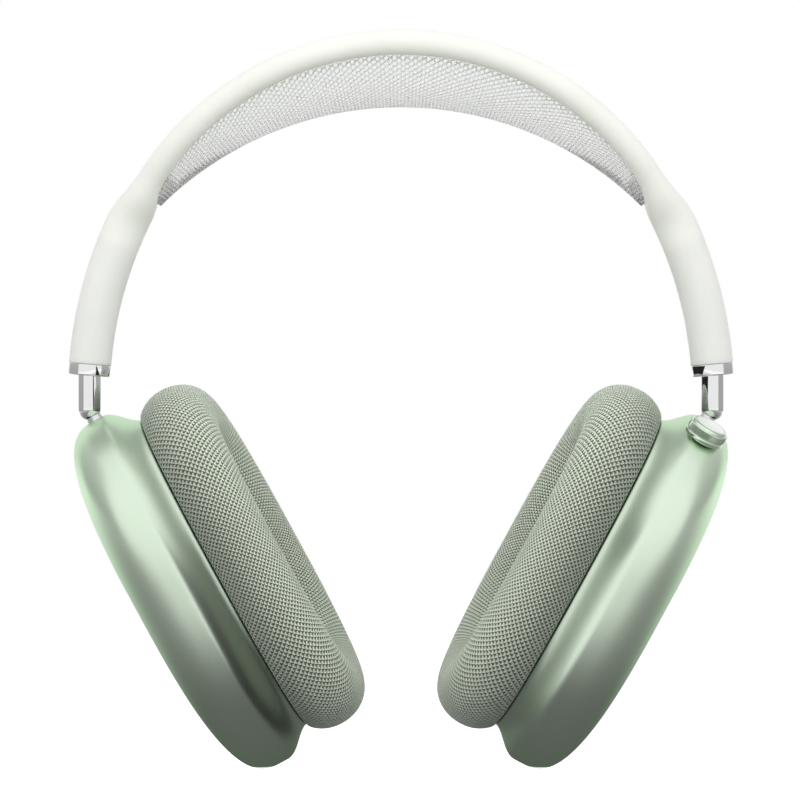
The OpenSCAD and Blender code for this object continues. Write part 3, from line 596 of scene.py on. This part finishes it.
def turned(profile, around=64):
    """Points and faces of a turned piece about +Z, from a profile of (radius, height)."""
    points, faces, rings = [], [], []
    for r, z in profile:
        steps = 1 if r < 1e-6 else around
        rings.append(list(range(len(points), len(points) + steps)))
        for k in range(steps):
            a = 2 * math.pi * k / around
            points.append((r * math.cos(a), r * math.sin(a), z))
    for low, high in zip(rings, rings[1:]):
        for k in range(around):
            j = (k + 1) % around
            corners = [low[k % len(low)], low[j % len(low)], high[j % len(high)], high[k % len(high)]]
            face = [v for i, v in enumerate(corners) if v not in corners[:i]]
            if len(face) > 2:
                faces.append(face)
    return np.array(points), faces


def arc(centre_r, centre_z, radius, start, stop, steps=7):
    """Points (radius, height) along an arc of a profile, its angles in degrees from outward."""
    turns = np.radians(np.linspace(start, stop, steps))
    return [(centre_r + radius * math.cos(a), centre_z + radius * math.sin(a)) for a in turns]


def rotation(axis, angle):
    return np.array(Matrix.Rotation(angle, 3, axis))


def for_side(sign, points, faces):
    """The right side's points and faces, or their mirror image for the left."""
    if sign > 0:
        return points, faces
    return points * (-1, 1, 1), [tuple(reversed(f)) for f in faces]


sides = (("right", 1), ("left", -1))
outer, inner, edge = arm_round / 2, rod_round / 2 + 0.1, 0.3
collar_profile = [(inner, collar_high), (inner, edge / 2), (inner + edge / 2, 0)]
collar_profile += arc(outer - edge, edge, edge, -90, 0)
collar_profile += arc(outer - edge, collar_high - edge, edge, 0, 80)
collar_profile += [(outer - edge, collar_high), (inner, collar_high)]
collar_points, collar_faces = turned(collar_profile, 128)
collar_points = (collar_points - (0, 0, collar_high)) @ rotation("Y", -end_slope).T + (end_x, 0, end_z)

# The rod: straight down, a ball-shaped end, and the neck with its fine groove. In the arm
# it is ground away where the arm's tube curves across it.
neck_axis = np.array((-math.sin(lean), 0, -math.cos(lean)))
elbow = np.array((rod_x, 0, elbow_z))
rod_around = 96
tube_room = 3.85
neck_reach = neck_long + 5.1
rod_r, neck_r = rod_round / 2, neck_round / 2
groove_from, groove_to, groove_in = 2.25, 2.45, 0.2
neck_steps = [(groove_from - 0.05, neck_r), (groove_from, neck_r - groove_in), (groove_to, neck_r - groove_in)]
neck_steps += [(groove_to + 0.05, neck_r), (neck_reach, neck_r)]
neck_turn = math.asin(neck_r / rod_r)


def in_tube(point):
    """The point, drawn in to the space inside the arm's tube if it lies above the arm's end."""
    if point[2] <= end_z:
        return point
    tube_x = arm_x + math.sqrt(arm_radius ** 2 - (point[2] - arm_z) ** 2)
    off = math.hypot(point[0] - tube_x, point[1])
    share = min(1.0, tube_room / off)
    return np.array((tube_x + (point[0] - tube_x) * share, point[1] * share, point[2]))


rod_lines = []
for k in range(rod_around):
    a = 2 * math.pi * k / rod_around
    side_x, side_y = math.cos(a), math.sin(a)
    upright = np.array((side_x, side_y, 0)) * rod_r
    leaning = np.array((side_x * math.cos(lean), side_y, -side_x * math.sin(lean)))
    line = [in_tube(np.array((rod_x, 0, end_z + up)) + upright) for up in np.linspace(rod_hidden, 0, 19)]
    line.append(elbow + upright + (0, 0, 0.8))
    from_tube = Vector(upright).normalized()
    to_neck = Vector(neck_axis * math.cos(neck_turn) + leaning * math.sin(neck_turn))
    line += [elbow + np.array(from_tube.slerp(to_neck, share)) * rod_r for share in np.linspace(0, 1, 14)]
    line += [elbow + leaning * r + neck_axis * along for along, r in neck_steps]
    rod_lines.append(line)
rod_points = np.array(rod_lines).transpose(1, 0, 2)
rod_levels = len(rod_points)
rod_points = rod_points.reshape(-1, 3)
rod_faces = [f[::-1] for f in tube_quads(rod_levels, rod_around)]
rod_faces.append(tuple(range(rod_around)))
rod_faces.append(tuple(range(len(rod_points) - 1, len(rod_points) - rod_around - 1, -1)))

for side, sign in sides:
    for name, points, faces, body in (
        ("collar", collar_points, collar_faces, "headband"),
        ("rod", rod_points, rod_faces, f"{side}_rod"),
    ):
        points, faces = for_side(sign, points, faces)
        mesh_of(f"{side}_{name}", points, faces, steel, body, [f"{side}_arm_{name}"])


def moulded(name, colour, roughness):
    """Plain moulded plastic, with the fine grain of its tool."""
    finish, tree, shader = surface(name, colour, roughness)
    grain = piece_noise(tree, 0.3, 3.0)
    dark, light = (tuple(part * k for part in colour) for k in (0.88, 1.1))
    tinted(tree, shader, piece_noise(tree, 4.0, 2.0), (0.3, dark), (0.7, light))
    glossed(tree, shader, grain, roughness * 0.85, roughness * 1.15)
    roughen(tree, shader, grain, 0.012)
    return finish


inner_plastic = moulded("inner_plastic", (0.10, 0.115, 0.10), 0.5)
dress(inner_plastic, "SIDE_arm_bush", "SIDE_rod_stop")

# ---- Cup shells ----
# Aluminium, milled and blasted, then anodised a pale green. A squared-off oval with a
# full dome, drawn in to a soft waist beside the cushion, and slotted on top for the neck.
shell_long, shell_wide, shell_deep = 99.1, 83.4, 23.6
ridge_at, waist_in, wall = 9.9, 5.6, 1.5
waist_reach = 8.5
lip_round = 0.35
outline_power, dome_power = 2.6, 3.1
ball_round, ball_cover = 9.0, 0.5
socket_round = ball_round / 2 + 0.3
ball_up = shell_long / 2 - ball_cover - socket_round
neck_in = ridge_at + 0.65
ball = elbow + neck_axis * neck_long
cup_turn = rotation("Y", lean) @ rotation("Z", toe)
cup_origin = ball + cup_turn @ np.array((-neck_in, 0, -ball_up))


def in_cup(points):
    """Points of the right cup's own space, x from the head, z along the cup."""
    return np.asarray(points, float) @ cup_turn.T + cup_origin


def squared(v, power):
    return np.sign(v) * np.abs(v) ** (2 / power)


def oval(x, half_long, half_wide, turns):
    """Points of a squared-off oval at depth x, at these turns in radians."""
    y = half_wide * squared(np.cos(turns), outline_power)
    z = half_long * squared(np.sin(turns), outline_power)
    return np.stack([np.full(len(turns), x), y, z], 1)


def even_turns(half_long, half_wide, around):
    """The turns at which that oval's points lie evenly spaced."""
    fine = np.linspace(0, 2 * math.pi, around * 24 + 1)
    line = oval(0, half_long, half_wide, fine)
    run = np.concatenate([[0], np.cumsum(np.linalg.norm(np.diff(line, axis=0), axis=1))])
    return np.interp(np.arange(around) * run[-1] / around, run, fine)


shell_around = 224
shell_turns = even_turns(shell_long, shell_wide, shell_around)


def smoothed(v):
    v = np.clip(v, 0, 1)
    return v * v * (3 - 2 * v)


def shell_skin(inset):
    """Rings of the shell's skin from the cushion to the crest."""
    long, wide = shell_long / 2 - inset, shell_wide / 2 - inset
    rings = []
    for x in np.linspace(0, waist_reach, 18):
        drawn = waist_in * (1 - smoothed(x / waist_reach))
        rings.append(oval(x, long - drawn, wide - drawn, shell_turns))
    rise = shell_deep - inset - ridge_at
    for a in math.pi / 2 * (np.arange(48) / 48) ** 1.5:
        grow = squared(np.cos(a), dome_power)
        rings.append(oval(ridge_at + rise * squared(np.sin(a), dome_power), long * grow, wide * grow, shell_turns))
    return rings


# The mouth's outer edge is broken by a small round
lip = []
for a in np.radians((90, 67, 45, 22)):
    x, small = lip_round * (1 - math.sin(math.pi / 2 - a + math.pi / 2)), lip_round * (1 - math.cos(a))
    half_long, half_wide = shell_long / 2 - waist_in, shell_wide / 2 - waist_in
    lip.append(oval(lip_round * (1 - math.sin(a)), half_long - small, half_wide - small, shell_turns))
outside, inside = shell_skin(0), shell_skin(wall)
rings = inside[::-1] + lip + outside[1:]
shell_points = np.concatenate(rings)
shell_faces = [f[::-1] for f in tube_quads(len(rings), shell_around)]
shell_faces.append(tuple(range(shell_around)))
shell_faces.append(tuple(range(len(shell_points) - 1, len(shell_points) - shell_around - 1, -1)))

anodised, tree, shader = surface(
    "anodised_shell", (0.77, 0.90, 0.74), 0.36, 1.0, Specular_Tint=(0.78, 0.95, 0.76, 1),
)
grain = piece_noise(tree, 0.16, 2.0)
tinted(tree, shader, piece_noise(tree, 30.0, 1.0), (0.3, (0.755, 0.885, 0.725)), (0.7, (0.785, 0.91, 0.755)))
glossed(tree, shader, grain, 0.32, 0.40)
roughen(tree, shader, grain, 0.004)


def lozenge_block(long, wide, heights, around=48):
    """A block with round ends: long along Y, wide along X."""
    a = 2 * math.pi * (np.arange(around) + 0.5) / around
    y = wide / 2 * np.sin(a) + np.sign(np.sin(a)) * (long - wide) / 2
    x = wide / 2 * np.cos(a)
    points = np.concatenate([np.stack([x, y, np.full(around, z)], 1) for z in heights])
    last = (len(heights) - 1) * around
    ends = [tuple(range(around))[::-1], tuple(range(last, last + around))]
    return points, tube_quads(len(heights), around) + ends


def rod_block(diameter, low, high):
    return turned([(0, low), (diameter / 2, low), (diameter / 2, high), (0, high)], 96)


def cut(piece, tools):
    """Cuts each tool's shape, given as points and faces, out of a piece."""
    cutters = []
    for points, faces in tools:
        mesh = bpy.data.meshes.new("cutter")
        mesh.from_pydata((np.asarray(points) * MM).tolist(), [], faces)
        cutter = bpy.data.objects.new("cutter", mesh)
        scene.collection.objects.link(cutter)
        step = piece.modifiers.new("cut", "BOOLEAN")
        step.operation = "DIFFERENCE"
        step.solver = "EXACT"
        step.object = cutter
        cutters.append(cutter)
    settled(piece)
    for cutter in cutters:
        bpy.data.objects.remove(cutter)
    piece.data.shade_smooth()
    piece.data.set_sharp_from_angle(angle=math.radians(32))


# On the right cup the crown stands in a flat recess, and the button and the port have slots
crown_at = np.array((ridge_at + 0.5, -23, 0))
crown_sink, crown_tilt = 0.9, math.radians(17.5)
crown_round, crown_high, housing_round = 10.2, 4.2, 7.2
button_at = np.array((ridge_at, 20.5, 0))
button_tilt = math.radians(-21)
button_long, button_wide = 13.0, 4.6
port_at = np.array((ridge_at + 1, 0, -shell_long / 2))
port_long, port_wide = 8.8, 3.1
room = 0.3


def edge_height(y):
    """How high the shell's widest line stands at a distance from the cup's middle."""
    return shell_long / 2 * (1 - (abs(y) / (shell_wide / 2)) ** outline_power) ** (1 / outline_power)


def at_crown(points):
    stands = crown_at + (0, 0, edge_height(crown_at[1]) - crown_sink)
    return in_cup(np.asarray(points) @ rotation("X", crown_tilt).T + stands)


def at_button(points):
    stands = button_at + (0, 0, edge_height(button_at[1]))
    return in_cup(np.asarray(points) @ rotation("X", button_tilt).T + stands)


neck_slot, slot_reach = neck_round + 2 * room, 2.6
slot_points, slot_faces = lozenge_block(neck_slot + slot_reach, neck_slot, (0, 12))
slot_points = slot_points @ rotation("Z", math.pi / 2).T + (slot_reach / 2, 0, 0)
ball_points, ball_faces = turned(arc(0, 0, socket_round, -90, 90, 33), 64)
neck_tools = []
for points, faces in ((slot_points, slot_faces), (ball_points, ball_faces)):
    neck_tools.append((in_cup(points + (neck_in, 0, ball_up)), faces))
recess, recess_faces = rod_block(crown_round + 2 * room, 0, 10)
through, through_faces = rod_block(housing_round + room, -10, 9)
button_slot, button_faces = lozenge_block(button_long + 2 * room, button_wide + 2 * room, (-9, 9))
port_slot, port_faces = lozenge_block(port_long, port_wide, (-10, 3))
right_tools = [(at_crown(recess), recess_faces), (at_crown(through), through_faces)]
right_tools += [(at_button(button_slot), button_faces), (in_cup(port_slot + port_at), port_faces)]

for side, sign in sides:
    points, faces = for_side(sign, in_cup(shell_points), shell_faces)
    shell = mesh_of(f"{side}_shell", points, faces, anodised, f"{side}_cup", [f"{side}_cup_shell"])
    tools = [for_side(sign, *tool) for tool in neck_tools]
    cut(shell, tools + right_tools if sign > 0 else tools)

# ---- Hinge ----
# Inside each cup the neck ends in a ball, held by a clip. The ball swivels on the neck, and
# its trunnions tilt in a pressed bracket against a bronze spring.
hinge_steel = satin_metal("hinge_steel", (0.60, 0.60, 0.61), 0.28)
dress(hinge_steel, "SIDE_hinge_bracket", "SIDE_hinge_clip")
dress(steel, "SIDE_hinge_ball")
spring_bronze = satin_metal("spring_bronze", (0.62, 0.34, 0.17), 0.30, 0.6)
dress(spring_bronze, "SIDE_tilt_spring")

# ---- Baffle and driver ----
# A moulded baffle closes each shell. It carries the driver, the magnets that hold the
# cushion, and six screws, and is bare when the cushion is pulled off.
dress(inner_plastic, "SIDE_cup_baffle")
screw_steel = satin_metal("screw_steel", (0.30, 0.30, 0.31), 0.36, 0.5)
dress(screw_steel, "SIDE_baffle_screws")
magnet_nickel = satin_metal("magnet_nickel", (0.66, 0.65, 0.62), 0.2, 0.8)
dress(magnet_nickel, "SIDE_cushion_magnets", "SIDE_driver_magnet")
black_plastic = moulded("black_plastic", (0.02, 0.02, 0.022), 0.42)
dress(black_plastic, "SIDE_driver_basket")
grille_steel = satin_metal("grille_steel", (0.09, 0.095, 0.09), 0.45, 0.4)
dress(grille_steel, "SIDE_driver_grille")
film, tree, shader = surface("diaphragm_film", (0.30, 0.32, 0.30), 0.22, Coat_Weight=0.4, Coat_Roughness=0.1)
tinted(tree, shader, piece_noise(tree, 2.0, 3.0), (0.3, (0.26, 0.28, 0.26)), (0.7, (0.34, 0.36, 0.34)))
roughen(tree, shader, piece_noise(tree, 0.8, 2.0), 0.02)
dress(film, "SIDE_driver_diaphragm")

# ---- Boards, cells and socket ----
# A logic board lies behind each driver. The right cup also has the two battery pouches, and
# the socket that shows in its bottom edge.
board, tree, shader = surface("circuit_board", (0.015, 0.075, 0.035), 0.35, Coat_Weight=0.5, Coat_Roughness=0.2)
place = tree.nodes.new("ShaderNodeTexCoord")
tracks = node_in(tree, "ShaderNodeTexVoronoi", {"distance": "MANHATTAN"}, Vector=place.outputs["Object"], Scale=900.0)
tinted(tree, shader, tracks.outputs["Distance"], (0.35, (0.012, 0.06, 0.028)), (0.5, (0.04, 0.15, 0.07)))
roughen(tree, shader, tracks.outputs["Distance"], 0.03)
dress(board, "SIDE_logic_board")
foil = satin_metal("battery_foil", (0.62, 0.63, 0.65), 0.36, 3.0)
dress(foil, "battery_cells")
socket_nickel = satin_metal("socket_nickel", (0.5, 0.5, 0.51), 0.25, 0.5)
dress(socket_nickel, "charging_socket")

# ---- Crown, cap and button ----
# The crown is a turned aluminium knob with fine grooves round its grip and a rounded
# shoulder, topped by a bright polished cap. The button is a milled bar in its slot.
crown_grooves, groove_deep = 60, 0.28
cap_round, cap_rim = 7.8, 0.12
crown_seat = 0.4
crown_around = crown_grooves * 6
shaft_hole = 1.5
grip_r, cap_r = crown_round / 2, cap_round / 2
shoulder_r = grip_r - groove_deep
shoulder = shoulder_r - cap_r - cap_rim
grip_low, grip_high = 1.5, crown_high - shoulder - 0.12
profile = [(shaft_hole, 0.0), (grip_r - 0.4, 0.0), (grip_r - 0.16, 0.06), (grip_r - 0.05, 0.17), (grip_r, 0.35)]
profile += [(grip_r, 1.05), (grip_r - 0.08, 1.2), (shoulder_r, 1.28), (shoulder_r, 1.38)]
profile += [(grip_r, z) for z in np.linspace(grip_low, grip_high, 7)]
profile += [(shoulder_r + 0.08, grip_high + 0.06)]
profile += arc(shoulder_r - shoulder, crown_high - shoulder, shoulder, 0, 90, 9)
profile += [(cap_r + 0.03, crown_high), (cap_r + 0.03, crown_high - 0.3), (shaft_hole, crown_high - 0.3), (shaft_hole, 0)]
crown_points, crown_faces = turned(profile, crown_around)
for i, (x, y, z) in enumerate(crown_points):
    if grip_low - 0.01 < z < grip_high + 0.01 and math.hypot(x, y) > grip_r - 0.1:
        wave = math.cos(crown_grooves * math.atan2(y, x))
        crown_points[i, :2] *= 1 - groove_deep * (0.5 - 0.5 * wave) / grip_r

crown_finish, tree, shader = surface("anodised_crown", (0.74, 0.87, 0.71), 0.18, 1.0)
grain = piece_noise(tree, 0.14, 2.0)
tinted(tree, shader, piece_noise(tree, 1.5, 2.0), (0.3, (0.70, 0.83, 0.67)), (0.7, (0.77, 0.89, 0.74)))
glossed(tree, shader, grain, 0.14, 0.24)
roughen(tree, shader, grain, 0.003)
crown_place = at_crown(crown_points + (0, 0, crown_seat))
mesh_of("crown_grip", crown_place, crown_faces, crown_finish, "crown", ["crown_knob"], 50)

cap_finish, tree, shader = surface("bright_cap", (0.88, 0.90, 0.86), 0.3, 0.25)
glossed(tree, shader, piece_noise(tree, 0.6), 0.25, 0.36)
roughen(tree, shader, piece_noise(tree, 0.3, 2.0), 0.001)
cap_profile = [(0, -0.28), (cap_r, -0.28), (cap_r, -0.08), (cap_r - 0.03, -0.02), (cap_r - 0.12, 0.0), (0, 0.03)]
cap_points, cap_faces = turned(cap_profile, 128)
cap_place = at_crown(cap_points + (0, 0, crown_seat + crown_high))
mesh_of("crown_disc", cap_place, cap_faces, cap_finish, "crown", ["crown_cap"])

button_around = 96
button_points, button_faces = lozenge_block(button_long, button_wide, (-4.8, 0.3, 0.42, 0.53, 0.6), button_around)
for level, small in ((2, 0.03), (3, 0.12), (4, 0.3)):
    part = slice(level * button_around, (level + 1) * button_around)
    button_points[part, :2] *= (1 - 2 * small / button_wide, 1 - 2 * small / button_long)
button_place = at_button(button_points)
mesh_of("button_bar", button_place, button_faces, anodised, "noise_button", ["noise_button"])

# The crown's hub and shaft turn in a moulded housing, over a switch, and so does the button
dress(inner_plastic, "crown_housing")
dress(black_plastic, "button_switch")
dress(spring_bronze, "crown_hub")
dress(hinge_steel, "crown_shaft", "crown_switch")

# ---- Cushions ----
# Each is a ring of foam in a knitted cover, full and round, a little taller at the front,
# and flat where it wraps its plate. The knit's ribs run from the seam over the crest.
cushion_high, cushion_wedge = 18.3, 0.7
ring_wide, belly_at, crown_power = 20.0, 7.6, 2.2
cushion_long, cushion_wide = shell_long / 2 - 1.4, shell_wide / 2 - 1.4
foot_at, wrap_at, wrap_in = 1.6, 0.3, 5.5
ring_around = 168
plump_slack, plump_most = 0.6, 0.5

under_r = ring_wide / 2
inner_turn = math.asin((belly_at - foot_at) / under_r)
outer_turn = math.asin((belly_at - wrap_at) / under_r)


def even_line(points, count):
    """So many evenly spaced points along a line, without its last."""
    run = np.concatenate([[0], np.cumsum(np.linalg.norm(np.diff(points, axis=0), axis=1))])
    wanted = np.arange(count) * run[-1] / count
    return np.stack([np.interp(wanted, run, points[:, i]) for i in range(points.shape[1])], 1)


# The section: each point is its distance in, its height, and its share of the crown
bends = np.linspace(0, math.pi, 721)
crowned = np.stack([
    under_r * (1 - squared(np.cos(bends), crown_power)),
    np.full(len(bends), belly_at),
    (cushion_high - belly_at) * squared(np.sin(bends), crown_power),
], 1)
inner_arc = np.linspace(math.pi, math.pi - inner_turn, 60)
outer_arc = np.linspace(outer_turn, 0, 60)


def under(bends):
    return np.stack([under_r * (1 - np.cos(bends)), belly_at - under_r * np.sin(bends), np.zeros(len(bends))], 1)


flat_foot = np.array([under(inner_arc)[-1], (wrap_in, foot_at, 0)])
wrapped = np.array([(wrap_in, foot_at, 0), (wrap_in, wrap_at, 0)])
to_seam = np.array([(wrap_in, wrap_at, 0), under(outer_arc)[0]])
parts = [(crowned, 34), (under(inner_arc), 6), (flat_foot, 5), (wrapped, 2), (to_seam, 3), (under(outer_arc), 7)]
section = np.concatenate([even_line(line, steps) for line, steps in parts])
section[:, 2] /= cushion_high - belly_at
section_free = 34
section_count = len(section)
cushion_turns = even_turns(cushion_long, cushion_wide, ring_around)


def cushion_ring(turn, crown):
    """The section carried to one place round the ring, with the crown so high."""
    y = (cushion_wide - section[:, 0]) * squared(math.cos(turn), outline_power)
    z = (cushion_long - section[:, 0]) * squared(math.sin(turn), outline_power)
    crest = crown + cushion_wedge * y / (cushion_wide - under_r)
    return np.stack([-section[:, 1] - (crest - belly_at) * section[:, 2], y, z], 1)


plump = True
start_high = cushion_high - plump_slack if plump else cushion_high
cushion_points = np.concatenate([cushion_ring(turn, start_high) for turn in cushion_turns])
drop = np.array([(abs(a[0] - b[0]), a[1] - b[1], (a[2] - b[2]) * (cushion_high - belly_at)) for a, b in
                 zip(np.roll(section, -1, 0), section)])
section_run = np.concatenate([[0], np.cumsum(np.hypot(drop[:, 0], drop[:, 1] + drop[:, 2]))])
stitches, stitch_even, stitch_rows, rows_even = 198, 0.836, 0.655, 0.06
seam_from = section_free + 13


def knit_place(i, k, past_seam):
    """Where the knit's pattern stands at one place round the ring and along the section."""
    share = i / ring_around - 0.25
    wave = 8 * math.pi * share
    run = section_run[k] - (section_run[-1] if past_seam else 0)
    u = stitches * share + stitch_even * math.sin(wave)
    return u, run * (stitch_rows + rows_even * math.cos(wave))


cushion_faces, cushion_uvs = [], []
for i in range(ring_around):
    for k in range(section_count):
        j, m = (i + 1) % ring_around, (k + 1) % section_count
        corner = (i * section_count + k, j * section_count + k, j * section_count + m, i * section_count + m)
        cushion_faces.append(corner)
        past = k >= seam_from
        ends = ((i, k), (i + 1, k), (i + 1, k + 1), (i, k + 1))
        cushion_uvs.append(tuple(knit_place(*end, past) for end in ends))

# Air is let into the cover, which is held at the plate, and it fills out as on its foam
if plump:
    cover_mesh = bpy.data.meshes.new("cover")
    cover_mesh.from_pydata((cushion_points * MM).tolist(), [], cushion_faces)
    cover = bpy.data.objects.new("cover", cover_mesh)
    scene.collection.objects.link(cover)
    held = cover.vertex_groups.new(name="held")
    held.add([i for i in range(len(cushion_points)) if i % section_count > section_free + 1], 1.0, "REPLACE")
    cloth = cover.modifiers.new("cloth", "CLOTH")
    cloth.settings.vertex_group_mass = "held"
    cloth.settings.effector_weights.gravity = 0
    cloth.settings.use_pressure = True
    cloth.settings.uniform_pressure_force = 4.0
    cloth.settings.quality = 5
    for number in range(1, 17):
        scene.frame_set(number)
    filled = shaped_mesh(cover)
    moved = np.empty(len(cushion_points) * 3)
    filled.vertices.foreach_get("co", moved)
    moved = moved.reshape(-1, 3) / MM - cushion_points
    far = np.linalg.norm(moved, axis=1)
    cushion_points = cushion_points + moved * np.minimum(1, plump_most / np.maximum(far, 1e-6))[:, None]
    scene.frame_set(1)
    bpy.data.objects.remove(cover)
    bpy.data.meshes.remove(filled)

knit, tree, shader = surface(
    "cushion_knit", (0.42, 0.50, 0.37), 0.75, Sheen_Weight=1.0, Sheen_Roughness=0.3, Sheen_Tint=(0.9, 1.0, 0.86, 1),
)
place = tree.nodes.new("ShaderNodeUVMap")
around_ring, up_section, z = node_in(tree, "ShaderNodeSeparateXYZ", i0=place.outputs[0]).outputs


def strayed(position, offset):
    """A place in the pattern, moved a little as hand-set yarn is."""
    stray = worked(tree, "MULTIPLY_ADD", piece_noise(tree, offset, 2.0), 0.24, -0.12)
    return worked(tree, "ADD", position, stray)


def yarn_far(along, across, low, high):
    """How far a place lies from a straight bit of yarn."""
    held = node_in(tree, "ShaderNodeClamp", Value=along, Min=low, Max=high).outputs[0]
    off = worked(tree, "SUBTRACT", along, held)
    squares = worked(tree, "ADD", worked(tree, "MULTIPLY", off, off), worked(tree, "MULTIPLY", across, across))
    return worked(tree, "SQRT", squares)


# Each stitch is a V of two short yarns, whose point is turned to the seam
one_way = strayed(worked(tree, "ADD", around_ring, up_section), 1.1)
other_way = strayed(worked(tree, "SUBTRACT", around_ring, up_section), 1.3)
one = worked(tree, "WRAP", one_way, 0.7, -0.3)
other = worked(tree, "WRAP", other_way, 0.3, -0.7)
leg_long = 0.42
nearest = worked(tree, "MINIMUM", yarn_far(one, other, 0.0, leg_long), yarn_far(other, one, -leg_long, 0.0))
fall = worked(tree, "DIVIDE", nearest, 0.3)
yarn = worked(tree, "SUBTRACT", 1.0, worked(tree, "MULTIPLY", fall, fall))
fibre = worked(tree, "MULTIPLY_ADD", piece_noise(tree, 0.14, 3.0), 0.3, -0.15)
height = worked(tree, "MAXIMUM", worked(tree, "ADD", yarn, fibre), 0.0)
# Painted shade and highlight: the yarn's green is its own colour, but each yarn is painted palest along its middle,
# darker towards its sides and dark in the holes between, for the light and shade of the knit's relief, which the bump
# also gives.
hole, thread, crest = (0.09, 0.12, 0.075), (0.62, 0.725, 0.54), (0.94, 0.99, 0.87)
pattern = ramp(tree, height, (0.0, hole), (0.45, thread), (1.0, crest))
# Painted shade: the knit is darkened from its outer belly down towards the seam, where the shell's lip shades it, and
# is brightest over the crest.
painted_seam_shade = graded_by(tree, up_section, (-5.6, 0.32), (-2.5, 0.48), (0.0, 0.7), (3.5, 0.87), (7.5, 1.0))
toned = node_in(tree, "ShaderNodeVectorMath", {"operation": "MULTIPLY"}, i0=pattern, i1=painted_seam_shade)
tree.links.new(toned.outputs[0], shader.inputs["Base Color"])
roughen(tree, shader, height, 0.3)

for side, sign in sides:
    points, faces = for_side(sign, in_cup(cushion_points), cushion_faces)
    uvs = cushion_uvs if sign > 0 else [uv[::-1] for uv in cushion_uvs]
    cushion = mesh_of(f"{side}_cushion_cover", points, faces, knit, f"{side}_pad", [f"{side}_cushion"], 80)
    layer = cushion.data.uv_layers.new(name="knit")
    layer.data.foreach_set("uv", np.array(uvs, np.float32).ravel())
    round_off = cushion.modifiers.new("round", "SUBSURF")
    round_off.levels = round_off.render_levels = 1
    settled(cushion)
dress(inner_plastic, "SIDE_cushion_plate")

# ---- Ear mesh ----
# A fine dark net, stretched over the cushion's plate inside the ring, hides the driver. It
# is cut as an oval and stands a little proud in the middle.
net_half_long, net_half_wide = 29.55, 21.7
net_at, net_thick, net_rise = -1.55, 0.4, 0.35
net_rings, net_around = 24, 96
net_turns = even_turns(net_half_long, net_half_wide, net_around)

ear_net, tree, shader = surface("ear_net", (0.10, 0.11, 0.10), 0.75, Sheen_Weight=0.3, Sheen_Roughness=0.5)
place = tree.nodes.new("ShaderNodeTexCoord")
holes = node_in(tree, "ShaderNodeTexVoronoi", Vector=place.outputs["Object"], Scale=1100.0, Randomness=0.15)
tinted(tree, shader, holes.outputs["Distance"], (0.25, (0.02, 0.022, 0.02)), (0.5, (0.16, 0.175, 0.155)))
roughen(tree, shader, holes.outputs["Distance"], 0.12)

net_points = []
for i in range(1, net_rings + 1):
    out = i / net_rings
    ring = oval(net_at - net_thick / 2 - net_rise * (1 - out ** 2), net_half_long * out, net_half_wide * out, net_turns)
    net_points.append(ring)
net_points = np.concatenate(net_points + [[(net_at - net_thick / 2 - net_rise, 0, 0)]])
net_faces = tube_quads(net_rings, net_around)
net_faces += [(len(net_points) - 1, k, (k + 1) % net_around)[::-1] for k in range(net_around)]
for side, sign in sides:
    points, faces = for_side(sign, in_cup(net_points), net_faces)
    mesh = mesh_of(f"{side}_ear_screen", points, faces, ear_net, f"{side}_pad", [f"{side}_ear_mesh"], 80)
    thicken = mesh.modifiers.new("net", "SOLIDIFY")
    thicken.thickness = net_thick * MM
    thicken.offset = 0
    settled(mesh)
